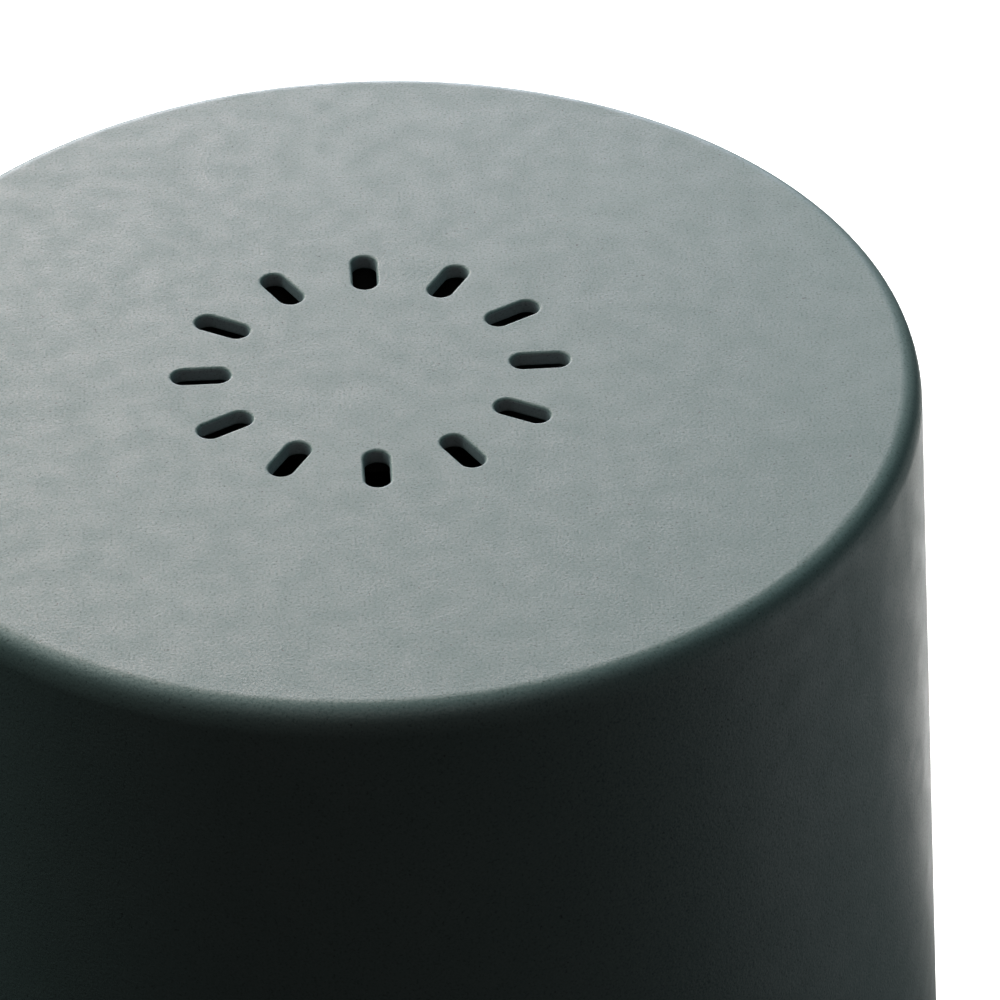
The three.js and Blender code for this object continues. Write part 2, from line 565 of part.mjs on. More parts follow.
// A dished plate with pads for its screws, posts for the fan and the board, recesses for the feet,
// and a round grille of parallel slots that lets air in to the fan.
function bottomCover() {
  const [rimHeight, rimWall, edge] = [1.2, 1.4, 0.5];
  const plate = revolve([
    [0, PLATE_Z], [PLATE_RADIUS - edge, PLATE_Z], [PLATE_RADIUS, PLATE_Z + edge],
    [PLATE_RADIUS, PLATE_TOP_Z + rimHeight], [PLATE_RADIUS - rimWall, PLATE_TOP_Z + rimHeight],
    [PLATE_RADIUS - rimWall, PLATE_TOP_Z], [0, PLATE_TOP_Z],
  ]);
  const post = (radius, top) => ([x, y]) => upright(radius, PLATE_TOP_Z - edge, top, x, y, HOLE_ROUND);
  const pads = BOSS_POINTS.map(post(4.6, BOSS_FOOT_Z - GAP));
  const fanPosts = FAN_HOLES.map(post(2.7, FAN_Z - GAP));
  const boardPosts = BOARD_HOLES.map(post(3, BOARD_Z - GAP));
  const hole = (radius, low, high, sides = HOLE_ROUND) => ([x, y]) => upright(radius, low, high, x, y, sides);
  const counterbores = BOSS_POINTS.map(hole(3.3, PLATE_Z - PAST, PLATE_Z + 2.1));
  const screwHoles = BOSS_POINTS.map(hole(CLEAR_RADIUS, PLATE_Z, BOSS_FOOT_Z + PAST));
  const pilots = [...FAN_HOLES, ...BOARD_HOLES].map(hole(PILOT_RADIUS, PLATE_Z + 1.2, BOARD_Z + PAST));
  const recesses = FEET.map(hole(FOOT_RADIUS + 0.4, PLATE_Z - PAST, FOOT_RECESS_Z, 20));
  const grille = Array.from({ length: 2 * GRILLE_HALF_COUNT + 1 }, (_, i) => {
    const y = (i - GRILLE_HALF_COUNT) * GRILLE_PITCH;
    const half = Math.sqrt(GRILLE_RADIUS ** 2 - y ** 2);
    return block(
      [FAN_X - half, y - GRILLE_SLOT / 2, PLATE_Z - PAST],
      [FAN_X + half, y + GRILLE_SLOT / 2, PLATE_TOP_Z + PAST],
    );
  });
  return cut(
    joined([plate, ...pads, ...fanPosts, ...boardPosts]),
    ...counterbores, ...screwHoles, ...pilots, ...recesses, ...grille,
  );
}

function foot([x, y]) {
  const top = FOOT_RECESS_Z - GAP;
  const edge = 0.6;
  return revolve(
    [[0, 0], [FOOT_RADIUS - edge, 0], [FOOT_RADIUS, edge], [FOOT_RADIUS, top], [0, top]],
    SMALL_ROUND, x, y,
  );
}

// ---------------------------------------------------------------- fan

const FAN_BORE = 16.3;
const FAN_CORNER = 3;
const FAN_TOP_Z = FAN_Z + FAN_DEPTH;
const FAN_SPOKES = 3;
const FAN_SPOKE_HEIGHT = 1.3;
const FAN_POLES = 4;
const HUB_RADIUS = 8.2;
const HUB_WALL = 1;
const ROTOR_Z = FAN_Z + 2.2;
const ROTOR_TOP_Z = FAN_TOP_Z - 0.6;
const BLADE_COUNT = 7;
const BLADE_THICKNESS = 0.9;
const BLADE_PITCH = THREE.MathUtils.degToRad(48);

// A square frame with a round bore, and a bearing seat carried on spokes.
function fanFrame() {
  const frame = roundedPlate(FAN_SIZE, FAN_SIZE, FAN_CORNER, FAN_Z, FAN_TOP_Z, FAN_X);
  const bore = upright(FAN_BORE, FAN_Z - PAST, FAN_TOP_Z + PAST, FAN_X, 0, MEDIUM_ROUND);
  const holes = FAN_HOLES.map(([x, y]) =>
    upright(CLEAR_RADIUS, FAN_Z - PAST, FAN_TOP_Z + PAST, x, y, HOLE_ROUND),
  );
  const [seatRadius, seatBore, spokeWidth] = [6.6, 1.9, 2.2];
  const seat = upright(seatRadius, FAN_Z, FAN_Z + FAN_SPOKE_HEIGHT, FAN_X, 0, MEDIUM_ROUND);
  const seatHole = upright(seatBore, FAN_Z + 0.5, FAN_Z + 2, FAN_X, 0, PIN_ROUND);
  const spokes = Array.from({ length: FAN_SPOKES }, (_, i) => {
    const geometry = new THREE.BoxGeometry(FAN_BORE - 4, spokeWidth, FAN_SPOKE_HEIGHT);
    at(geometry, (FAN_BORE + 6) / 2).rotateZ(Math.PI / 2 + (i * 2 * Math.PI) / FAN_SPOKES);
    return solid(at(geometry, FAN_X, 0, FAN_Z + FAN_SPOKE_HEIGHT / 2));
  });
  return cut(joined([cut(frame, bore), seat, ...spokes]), seatHole, ...holes);
}

const fanBearing = () => fanRing(1.3, 2.2, FAN_Z + 1.6, FAN_Z + 7.2, PIN_ROUND);

// Wound poles on a ring around the bearing.
function fanStator() {
  const core = fanRing(2.5, 3.6, FAN_Z + 1.8, FAN_Z + 6.8, SMALL_ROUND);
  const poles = Array.from({ length: FAN_POLES }, (_, i) => {
    const geometry = at(new THREE.BoxGeometry(3.4, 3, 4), 4.6).rotateZ(((i + 0.5) * 2 * Math.PI) / FAN_POLES);
    return solid(at(geometry, FAN_X, 0, FAN_Z + 4.3));
  });
  return joined([core, ...poles]);
}

// A hub like an upturned cup, with pitched blades.
function fanImpeller() {
  const [edge, roof] = [0.8, 1.2];
  const hub = onFanAxis([
    [0, ROTOR_TOP_Z], [HUB_RADIUS - edge, ROTOR_TOP_Z], [HUB_RADIUS, ROTOR_TOP_Z - edge],
    [HUB_RADIUS, ROTOR_Z], [HUB_RADIUS - HUB_WALL, ROTOR_Z],
    [HUB_RADIUS - HUB_WALL, ROTOR_TOP_Z - roof], [0, ROTOR_TOP_Z - roof],
  ]);
  const [root, reach] = [HUB_RADIUS - 0.5, FAN_BORE - 0.9];
  const blades = Array.from({ length: BLADE_COUNT }, (_, i) => {
    const geometry = new THREE.BoxGeometry(reach + 1 - root, BLADE_THICKNESS, 8).rotateX(BLADE_PITCH);
    at(geometry, (root + reach + 1) / 2).rotateZ((i * 2 * Math.PI) / BLADE_COUNT);
    return solid(at(geometry, FAN_X, 0, (ROTOR_Z + ROTOR_TOP_Z) / 2));
  });
  const sweep = fanRing(HUB_RADIUS - HUB_WALL, reach, ROTOR_Z, ROTOR_TOP_Z);
  const shaftHole = upright(1.2, ROTOR_TOP_Z - 2, ROTOR_TOP_Z - 0.5, FAN_X, 0, PIN_ROUND);
  return cut(joined([hub, ...blades.map((blade) => blade.intersect(sweep))]), shaftHole);
}

const fanShaft = () => upright(0.9, FAN_Z + 1.8, FAN_TOP_Z - 1.4, FAN_X, 0, PIN_ROUND);

const DUCT_Z = FAN_TOP_Z + GAP;
const DUCT_FLANGE = 1.8;
const DUCT_WALL = 1.4;
const DUCT_NECK_Z = 38;
const DUCT_TOP_Z = AIR_PIPE_FOOT_Z + 3;

// Gathers the fan's air into the pipe that runs up through the tank.
function fanDuct() {
  const mouth = FAN_BORE - 0.4;
  const neck = AIR_PIPE_OUTER + GAP;
  const body = onFanAxis([
    [0, DUCT_Z], [mouth + DUCT_WALL, DUCT_Z], [neck + DUCT_WALL, DUCT_NECK_Z], [neck + DUCT_WALL, DUCT_TOP_Z],
    [0, DUCT_TOP_Z],
  ]);
  const airway = onFanAxis([
    [0, DUCT_Z - PAST], [mouth, DUCT_Z - PAST], [mouth, DUCT_Z + 0.2], [neck, DUCT_NECK_Z],
    [neck, DUCT_TOP_Z + PAST], [0, DUCT_TOP_Z + PAST],
  ]);
  const flange = roundedPlate(FAN_SIZE, FAN_SIZE, FAN_CORNER, DUCT_Z, DUCT_Z + DUCT_FLANGE, FAN_X);
  const [headRoom, headTop] = [3.1, DUCT_Z + 8];
  const holes = FAN_HOLES.map(([x, y]) =>
    upright(CLEAR_RADIUS, DUCT_Z - PAST, DUCT_Z + DUCT_FLANGE + PAST, x, y, HOLE_ROUND),
  );
  const heads = FAN_HOLES.map(([x, y]) => upright(headRoom, DUCT_Z + DUCT_FLANGE, headTop, x, y, HOLE_ROUND));
  return cut(body.add(flange), airway, ...holes, ...heads);
}

// ---------------------------------------------------------------- electronics

const CONTROL_BOARD_Y = -42.6;
const SWITCH_FACE_Y = CONTROL_BOARD_Y - 3.8;
const SOCKET_FACE_Y = 53.2;

// A D-shaped board on the right of the fan, with its front cut straight behind the control board.
function mainBoard() {
  const [radius, leftEdge, frontEdge] = [41.3, -6.2, -40.4];
  const disc = upright(radius, BOARD_Z, BOARD_TOP_Z, 0, 0, ROUND);
  const fanSide = block([-FAR_Y, -FAR_Y, 0], [leftEdge, FAR_Y, SEAM_Z]);
  const frontSide = block([-FAR_Y, -FAR_Y, 0], [FAR_Y, frontEdge, SEAM_Z]);
  const holes = BOARD_HOLES.map(([x, y]) =>
    upright(CLEAR_RADIUS, BOARD_Z - PAST, BOARD_TOP_Z + PAST, x, y, HOLE_ROUND),
  );
  return cut(disc, fanSide, frontSide, ...holes);
}

const HEAT_SINK_X = 18;
const HEAT_SINK_HALF_WIDTH = 9;

// An upright plate with fins behind it.
function heatSink() {
  const [low, high] = [BOARD_TOP_Z + GAP, BOARD_TOP_Z + 24];
  const [plateThickness, finReach, finThickness, finPitch] = [2.2, 10, 1.2, 4.2];
  const width = HEAT_SINK_HALF_WIDTH;
  const plate = block([HEAT_SINK_X, -width, low], [HEAT_SINK_X + plateThickness, width, high]);
  const fins = Array.from({ length: 5 }, (_, i) => {
    const y = (i - 2) * finPitch;
    const half = finThickness / 2;
    return block([HEAT_SINK_X + 2, y - half, low], [HEAT_SINK_X + finReach, y + half, high]);
  });
  return joined([plate, ...fins]);
}

// Flat package with a tab, clamped to the heat sink's plate, on three legs.
function powerTransistor() {
  const low = BOARD_TOP_Z + 5;
  const face = HEAT_SINK_X - GAP;
  const [halfWidth, depth, height] = [5, 4.4, 9];
  const [tabThickness, tabTop, holeRadius] = [1.3, low + 15, 1.8];
  const [legPitch, legHalfWidth, legBack, legFront] = [2.54, 0.4, 2, 2.6];
  const body = block([face - depth, -halfWidth, low], [face, halfWidth, low + height]);
  const tab = block([face - tabThickness, -halfWidth, low + height - 0.2], [face, halfWidth, tabTop]);
  const hole = solid(at(new THREE.CylinderGeometry(holeRadius, holeRadius, 4, PIN_ROUND)
    .rotateZ(Math.PI / 2), face, 0, low + 12));
  const legs = [-1, 0, 1].map((i) => {
    const y = i * legPitch;
    return block(
      [face - legFront, y - legHalfWidth, BOARD_TOP_Z + GAP],
      [face - legBack, y + legHalfWidth, low + 0.5],
    );
  });
  return cut(joined([body, tab, ...legs]), hole);
}

// A drum core with a winding between its two flanges.
function inductor(x, y) {
  const low = BOARD_TOP_Z + GAP;
  const [radius, winding, flange, height] = [5.6, 4.8, 1.2, 10];
  return revolve([
    [0, low], [radius, low], [radius, low + flange], [winding, low + flange + 0.4],
    [winding, low + height - flange - 0.4], [radius, low + height - flange], [radius, low + height],
    [0, low + height],
  ], SMALL_ROUND, x, y);
}

// A can with a rolled groove near its foot.
function capacitor(x, y, radius, height) {
  const low = BOARD_TOP_Z + GAP;
  const [grooveLow, groove, grooveHigh] = [1.4, 1.8, 2.2];
  return revolve([
    [0, low], [radius - 0.3, low], [radius, low + 0.4],
    [radius, low + grooveLow], [radius - 0.35, low + groove], [radius, low + grooveHigh],
    [radius, low + height - 0.4], [radius - 0.5, low + height], [0, low + height],
  ], SMALL_ROUND, x, y);
}

// Barrel power socket: a square body, a round collar through the housing's wall and a centre pin.
function powerSocket() {
  const [halfWidth, back, front, top] = [4.5, 37, 50.4, SOCKET_Z + 4.3];
  const [boreRadius, boreFloor, pinRadius] = [2.9, 43, 1];
  const body = block([-halfWidth, back, BOARD_TOP_Z + GAP], [halfWidth, front, top]);
  const collar = along(SOCKET_COLLAR_RADIUS, front - 0.4, SOCKET_FACE_Y, 0, SOCKET_Z, MEDIUM_ROUND);
  const bore = along(boreRadius, boreFloor, SOCKET_FACE_Y + PAST, 0, SOCKET_Z, 20);
  const pin = along(pinRadius, boreFloor - 1, SOCKET_FACE_Y - 1.5, 0, SOCKET_Z, PIN_ROUND);
  return cut(joined([body, collar]), bore).add(pin);
}

function controlBoard() {
  const [halfWidth, low, high] = [18, 5.6, 17.2];
  return block([-halfWidth, CONTROL_BOARD_Y, low], [halfWidth, CONTROL_BOARD_Y + BOARD_THICKNESS, high]);
}

const SWITCH_HALF_WIDTH = 3;
const PLUNGER_RADIUS = 1.6;
const PLUNGER_FACE_Y = SWITCH_FACE_Y - 0.8;

function switchBody(x) {
  const half = SWITCH_HALF_WIDTH;
  const body = block(
    [x - half, SWITCH_FACE_Y, CONTROL_Z - half],
    [x + half, CONTROL_BOARD_Y - GAP, CONTROL_Z + half],
  );
  const bore = along(PLUNGER_RADIUS + 0.4, SWITCH_FACE_Y - PAST, SWITCH_FACE_Y + 2, x, CONTROL_Z, PIN_ROUND);
  return cut(body, bore);
}

const switchPlunger = (x) =>
  along(PLUNGER_RADIUS, PLUNGER_FACE_Y, SWITCH_FACE_Y + 1.2, x, CONTROL_Z, PIN_ROUND);

// A disc as tall as the base, whose edge shapes the faces of the buttons and the indicator.
const faceOfTheBase = (proud) => {
  const low = 5;
  return revolve([
    [0, low], [outerRadius(low) + proud, low], [outerRadius(SEAM_Z) + proud, SEAM_Z], [0, SEAM_Z],
  ]);
};

// The cap's face follows the curve of the base and stands a little proud of it.
function buttonCap(x) {
  const [proud, flangeFront, flangeThickness, stemRadius] = [0.3, -49.2, 0.8, 1.5];
  const barrel = along(BUTTON_RADIUS, -FAR_Y, flangeFront + 0.4, x, CONTROL_Z, MEDIUM_ROUND);
  const flange = along(
    BUTTON_RADIUS + 0.9, flangeFront, flangeFront + flangeThickness, x, CONTROL_Z, MEDIUM_ROUND,
  );
  const stem = along(stemRadius, flangeFront, PLUNGER_FACE_Y - GAP, x, CONTROL_Z, PIN_ROUND);
  return joined([barrel.intersect(faceOfTheBase(proud)), flange, stem]);
}

const indicatorLed = () => along(1.5, -47, CONTROL_BOARD_Y - GAP, 0, CONTROL_Z, PIN_ROUND);

const indicatorLens = () =>
  along(LENS_RADIUS, -FAR_Y, -47.3, 0, CONTROL_Z, PIN_ROUND).intersect(faceOfTheBase(0));

// A plug on its header, with a key on one side.
function connector(x, y) {
  const low = BOARD_TOP_Z + GAP;
  const [halfWidth, halfDepth, height] = [3.2, 2.6, 6];
  const shell = block([x - halfWidth, y - halfDepth, low], [x + halfWidth, y + halfDepth, low + height]);
  const key = block([x - 1.6, y + halfDepth - 0.2, low + 2], [x + 1.6, y + halfDepth + 0.8, low + 5]);
  return joined([shell, key]);
}

// ---------------------------------------------------------------- the base, put together

const base = new THREE.Group();
addPiece(base, "base_housing", baseHousing(), MATERIALS.darkPlastic);
addPiece(base, "bottom_cover", bottomCover(), MATERIALS.blackPlastic);
addPiece(base, "water_tank", waterTank(), MATERIALS.tankPlastic);
addPiece(base, "air_pipe", airPipe(), MATERIALS.tankPlastic);
addPiece(base, "tank_gasket", tankGasket(), MATERIALS.silicone);
addPiece(base, "transducer_disc", transducerDisc(), MATERIALS.ceramic);
addPiece(base, "transducer_seal", transducerSeal(), MATERIALS.silicone);
addPiece(base, "transducer_retainer", transducerRetainer(), MATERIALS.blackPlastic);
FEET.forEach((point, i) => addPiece(base, `foot_${i + 1}`, foot(point), MATERIALS.rubber));
BOSS_POINTS.forEach(([x, y], i) =>
  addPiece(base, `bottom_screw_${i + 1}`, screw(PLATE_Z + 1.8, 11.5, 1, x, y), MATERIALS.steel),
);
TANK_POSTS.forEach(([x, y], i) =>
  addPiece(base, `tank_screw_${i + 1}`, screw(LUG_TOP_Z - LUG_THICKNESS - GAP, 9, 1, x, y), MATERIALS.steel),
);
LUG_ANGLES.forEach((degrees, i) => {
  const [x, y] = polar(LUG_RING_RADIUS, degrees);
  addPiece(base, `retainer_screw_${i + 1}`, screw(RETAINER_Z - GAP, 5, 1, x, y, 2, 1), MATERIALS.steel);
});

addPiece(base, "fan_frame", fanFrame(), MATERIALS.blackPlastic);
addPiece(base, "fan_bearing", fanBearing(), MATERIALS.brass);
addPiece(base, "fan_stator", fanStator(), MATERIALS.copper);
addPiece(base, "fan_duct", fanDuct(), MATERIALS.whitePlastic);
FAN_HOLES.forEach(([x, y], i) =>
  addPiece(base, `fan_screw_${i + 1}`, screw(DUCT_Z + DUCT_FLANGE + GAP, 14, -1, x, y), MATERIALS.steel),
);

addPiece(base, "main_board", mainBoard(), MATERIALS.board);
addPiece(base, "heat_sink", heatSink(), MATERIALS.aluminium);
addPiece(base, "power_transistor", powerTransistor(), MATERIALS.blackPlastic);
addPiece(base, "inductor", inductor(6, -26), MATERIALS.copper);
addPiece(base, "capacitor_1", capacitor(14, 24, 4, 12), MATERIALS.capacitorSleeve);
addPiece(base, "capacitor_2", capacitor(24, 22, 3.2, 9), MATERIALS.capacitorSleeve);
addPiece(base, "power_socket", powerSocket(), MATERIALS.blackPlastic);
BOARD_HOLES.forEach(([x, y], i) =>
  addPiece(base, `board_screw_${i + 1}`, screw(BOARD_TOP_Z + GAP, 4.4, -1, x, y), MATERIALS.steel),
);
addPiece(base, "transducer_connector", connector(4, 14), MATERIALS.connector);
addPiece(base, "fan_connector", connector(2, -8), MATERIALS.connector);
addPiece(base, "control_connector", connector(18, -24), MATERIALS.connector);
addPiece(base, "control_board", controlBoard(), MATERIALS.board);
addPiece(base, "mist_switch", switchBody(-BUTTON_X), MATERIALS.blackPlastic);
addPiece(base, "timer_switch", switchBody(BUTTON_X), MATERIALS.blackPlastic);
addPiece(base, "indicator_led", indicatorLed(), MATERIALS.lens);
addPiece(base, "indicator_lens", indicatorLens(), MATERIALS.lens);

// The leads arch between their ends, which stand just clear of what they are soldered or plugged to.
const LEAD_FOOT_Z = BOARD_TOP_Z + 6.6 + GAP;
addPiece(base, "transducer_lead", lead([
  [4, 14, LEAD_FOOT_Z], [4, 14, 20], [7, 12, 27], [9, 7, 34], [7, 3, 40], [4, 1, 44.5],
  [3.5, 0.5, DISC_Z - 0.5],
], 1, 18), MATERIALS.leadSleeve);
addPiece(base, "fan_lead", lead([
  [-8.2, -12, 20], [-5.5, -12, 20.4], [-1, -11, 20.6], [1.6, -9, 19], [2, -8, LEAD_FOOT_Z],
], 0.9, 10), MATERIALS.leadSleeve);
addPiece(base, "control_lead", lead([
  [14, -40.6, 14], [14, -37, 15], [15, -31, 20], [17.5, -25.5, 19], [18, -24, LEAD_FOOT_Z],
], 0.9, 12), MATERIALS.leadSleeve);
diffuser.add(base);

// ---------------------------------------------------------------- moving pieces in the base

const rotor = new THREE.Group();
addPiece(rotor, "fan_impeller", fanImpeller(), MATERIALS.blackPlastic);
addPiece(rotor, "fan_shaft", fanShaft(), MATERIALS.steel);
diffuser.add(rotor);

for (const [name, x] of [["mist", -BUTTON_X], ["timer", BUTTON_X]]) {
  const button = new THREE.Group();
  addPiece(button, `${name}_button`, buttonCap(x), MATERIALS.darkPlastic);
  addPiece(button, `${name}_switch_plunger`, switchPlunger(x), MATERIALS.whitePlastic);
  diffuser.add(button);
}

export default diffuser;
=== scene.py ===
# %% [markdown]
# # An ultrasonic essential oil diffuser
#
# A powder-coated metal cover with a ring of mist slots stands over a plastic base. The base holds the
# water tank, the transducer that turns water into mist, a small fan and the electronics.
#
# The measured model of every piece is loaded first. It fixes where each piece is, how large it may be
# and which body it moves with. The pieces are then modelled again on top of it, finely enough to be
# looked at closely.

# %% Load the measured model
import json
import math

import bmesh
import bpy
from mathutils import Matrix, Vector


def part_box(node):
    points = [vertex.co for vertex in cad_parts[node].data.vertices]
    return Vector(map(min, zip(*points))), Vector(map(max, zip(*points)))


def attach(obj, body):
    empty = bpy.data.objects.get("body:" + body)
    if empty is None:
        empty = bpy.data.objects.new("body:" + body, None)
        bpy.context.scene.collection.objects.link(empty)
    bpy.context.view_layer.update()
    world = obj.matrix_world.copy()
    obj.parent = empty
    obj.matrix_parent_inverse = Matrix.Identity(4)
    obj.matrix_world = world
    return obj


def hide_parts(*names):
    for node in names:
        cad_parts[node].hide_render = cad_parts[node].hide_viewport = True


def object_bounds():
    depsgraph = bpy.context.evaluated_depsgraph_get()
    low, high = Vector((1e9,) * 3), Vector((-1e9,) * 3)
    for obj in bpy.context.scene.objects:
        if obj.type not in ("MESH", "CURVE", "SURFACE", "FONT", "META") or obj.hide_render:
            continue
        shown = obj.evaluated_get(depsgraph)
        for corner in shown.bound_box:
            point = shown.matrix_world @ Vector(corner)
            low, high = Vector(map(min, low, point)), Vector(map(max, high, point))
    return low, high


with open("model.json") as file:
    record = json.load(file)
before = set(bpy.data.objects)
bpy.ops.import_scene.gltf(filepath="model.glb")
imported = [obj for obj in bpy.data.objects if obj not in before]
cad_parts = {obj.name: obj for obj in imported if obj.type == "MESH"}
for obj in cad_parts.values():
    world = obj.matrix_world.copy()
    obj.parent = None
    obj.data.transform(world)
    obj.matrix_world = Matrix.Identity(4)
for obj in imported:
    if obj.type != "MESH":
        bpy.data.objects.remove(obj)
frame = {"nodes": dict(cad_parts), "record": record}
measured_low, measured_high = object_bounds()

# %% [markdown]
# Blender counts in metres, but a maker reads a piece like this in millimetres. So outlines are written
# in millimetres and multiplied once. The few sizes that everything else follows come first: the height,
# the radius at the top and at the rim, and from them the slope of the side.

# %% Driving sizes
MM = 0.001


def span(node):
    """The lowest and highest corner of a node of the measured model, in millimetres."""
    low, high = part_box(node)
    return low / MM, high / MM


cover_low, cover_high = span("cover_shell")
HEIGHT, RIM_Z, RIM_RADIUS = cover_high.z, cover_low.z, cover_high.x
TOP_RADIUS = 46  # where the side's line meets the top
TAPER = (RIM_RADIUS - TOP_RADIUS) / (HEIGHT - RIM_Z)
SIDE_ANGLE = math.degrees(math.atan(TAPER))
COVER_WALL = 1.4


def outer_radius(z):
    """The radius of the outside at a height."""
    return TOP_RADIUS + (HEIGHT - z) * TAPER


def cover_inside(z):
    """The radius of the inside of the cover at a height."""
    return outer_radius(z) - COVER_WALL


print(f"height {HEIGHT:.1f} mm, rim radius {RIM_RADIUS:.2f} mm, slope {SIDE_ANGLE:.2f} deg")

# %% [markdown]
# ## Camera
#
# A long lens from half a metre away, looking down on the top at about 35 degrees. The camera is aimed
# at the middle of the top and then turned a little, so that the top fills the upper left of the picture
# and the side runs out of it below.

# %% Camera
ELEVATION, COMPASS = math.radians(35.28), math.radians(-0.92)
DISTANCE = 0.464  # to the middle of the cover's top
YAW, PITCH, ROLL = 0.0224, -0.0247, 0.0379  # radians

top_centre = Vector((0, 0, measured_high.z))
aim = Matrix.Rotation(COMPASS, 4, "Z") @ Matrix.Rotation(math.pi / 2 - ELEVATION, 4, "X")
away = aim.col[2].xyz
for turn, axis in ((-YAW, "Y"), (PITCH, "X"), (-ROLL, "Z")):
    aim = aim @ Matrix.Rotation(turn, 4, axis)

bpy.ops.object.camera_add()
camera = bpy.context.object
camera.name = "camera"
camera.data.lens = 199.6
camera.data.sensor_width = 36
camera.data.clip_start = 0.01
camera.matrix_world = Matrix.Translation(top_centre + away * DISTANCE) @ aim
bpy.context.scene.camera = camera
print("camera at", [round(n, 3) for n in camera.location])

# %% [markdown]
# ## Floor and background
#
# The object stands on a white acrylic table that is lit from below, so the floor and the background are
# one even white with no horizon. The glow is kept from lighting the object: otherwise the side, which
# should fall into shade, would be filled in from all round. The floor still takes a soft shadow.

# %% Floor
bpy.ops.mesh.primitive_plane_add(size=40)
floor = bpy.context.object
floor.name = "floor"
floor.visible_diffuse = False
floor.visible_glossy = False

table_top = bpy.data.materials.new("lit_table")
table_top.use_nodes = True
glow = table_top.node_tree.nodes["Principled BSDF"]
glow.inputs["Base Color"].default_value = (0.8, 0.8, 0.8, 1)
glow.inputs["Roughness"].default_value = 0.9
glow.inputs["Specular IOR Level"].default_value = 0.0
glow.inputs["Emission Color"].default_value = (1, 1, 1, 1)
floor.data.materials.append(table_top)

# Near the object the glow leaves room for a soft shadow. Further out, where no light box reaches, it
# rises to full white, so that the table meets the background without a line.
tree = table_top.node_tree
coordinates = tree.nodes.new("ShaderNodeTexCoord")
distance = tree.nodes.new("ShaderNodeVectorMath")
distance.operation = "LENGTH"
fade = tree.nodes.new("ShaderNodeMapRange")
fade.interpolation_type = "SMOOTHSTEP"
for socket, value in (("From Min", 0.35), ("From Max", 1.1), ("To Min", 0.8), ("To Max", 1.05)):
    fade.inputs[socket].default_value = value
tree.links.new(coordinates.outputs["Object"], distance.inputs[0])
tree.links.new(distance.outputs["Value"], fade.inputs["Value"])
tree.links.new(fade.outputs["Result"], glow.inputs["Emission Strength"])

world = bpy.data.worlds.new("white_room")
world.use_nodes = True
backdrop = world.node_tree.nodes["Background"]
backdrop.inputs["Color"].default_value = (1, 1, 1, 1)
backdrop.inputs["Strength"].default_value = 1.0
world.cycles_visibility.diffuse = False
world.cycles_visibility.glossy = False
world.cycles_visibility.transmission = False
world.cycles_visibility.scatter = False
bpy.context.scene.world = world
bpy.context.scene.view_settings.view_transform = "Standard"
print("floor is", floor.dimensions.x, "m wide")

# %% [markdown]
# ## Lights
#
# All of them are large soft boxes. Such a light is placed by its direction from the object,
# so each is given as a compass angle (0 is to the right, 90 is behind), an angle above the floor, a
# power and a tint. The main lights are behind and to the left: they glance off the top towards the
# camera, which turns the dull grey-green paint light, and leave the front in shade. Weak ones in front
# and above lift the rounded edge out of the dark.

# %% Soft boxes
LIGHT_DISTANCE, BOX_SIZE = 1.5, 0.7


def square_light(name, place_at, power, colour, size):
    """Adds a square area light that the camera doesn't see. It faces down until it is turned."""
    bpy.ops.object.light_add(type="AREA", location=place_at)
    light = bpy.context.object
    light.name = name
    light.data.shape = "SQUARE"
    light.data.size = size
    light.data.energy = power
    light.data.color = colour
    light.visible_camera = False
    return light


def soft_box(name, compass, above, power, colour):
    """Adds a square area light that faces the object."""
    turn, tilt = math.radians(compass), math.radians(above)
    direction = Vector((math.cos(tilt) * math.cos(turn), math.cos(tilt) * math.sin(turn), math.sin(tilt)))
    target = Vector((0, 0, measured_high.z * 0.7))
    light = square_light(name, target + direction * LIGHT_DISTANCE, power, colour, BOX_SIZE)
    light.rotation_euler = direction.to_track_quat("Z", "Y").to_euler()


soft_box("low_back_light", 90, 12, 19, (0.80, 0.87, 1.0))
soft_box("back_light", 105, 32, 17, (1.0, 0.75, 0.68))
soft_box("back_left_light", 120, 32, 11, (0.86, 1.0, 0.97))
soft_box("high_left_light", 150, 50, 13, (0.9, 1.0, 0.96))
soft_box("high_right_light", 30, 50, 3.6, (0.55, 0.95, 1.0))
soft_box("front_light", 270, 50, 1.9, (1.0, 0.82, 0.8))
soft_box("top_fill", 270, 72, 1.7, (1.0, 0.9, 0.9))

# %% [markdown]
# The edge of the side shines because it mirrors the lit table at a shallow angle. The table itself is
# hidden from reflections, so three small panels that lie on it, behind and to the right, stand in for
# that part of its glow.

# %% Glow from the table
PANEL_Z = 0.003  # just clear of the floor


def table_glow(name, x, y, size, power, colour):
    """Adds a square area light that lies on the floor and faces up."""
    square_light(name, (x, y, PANEL_Z), power, colour, size).rotation_euler.x = math.pi


table_glow("near_glow", 0.10, 0.20, 0.15, 0.47, (1.0, 0.98, 0.96))
table_glow("right_glow", 0.30, 0.25, 0.20, 0.16, (0.9, 1.0, 0.94))
table_glow("side_glow", 0.40, 0.0, 0.30, 0.41, (0.92, 0.98, 1.0))


# %% [markdown]
# ## Finishes
#
# A finish is a Principled shader with patterns that come from noise, so nothing is painted by hand and
# nothing is read from an image. The patterns are measured in the object's own space: a grain of 0.4 mm
# is 0.4 mm on every piece, and it moves with the piece. What is the same all over is set on the shader
# itself. These small helpers keep each finish short.

# %% Helpers for finishes
def paint(code):
    """A web colour such as 0x46585A as the linear colour that a shader needs."""
    channels = [(code >> shift & 255) / 255 for shift in (16, 8, 0)]
    linear = [c / 12.92 if c <= 0.04045 else ((c + 0.055) / 1.055) ** 2.4 for c in channels]
    return (*linear, 1)


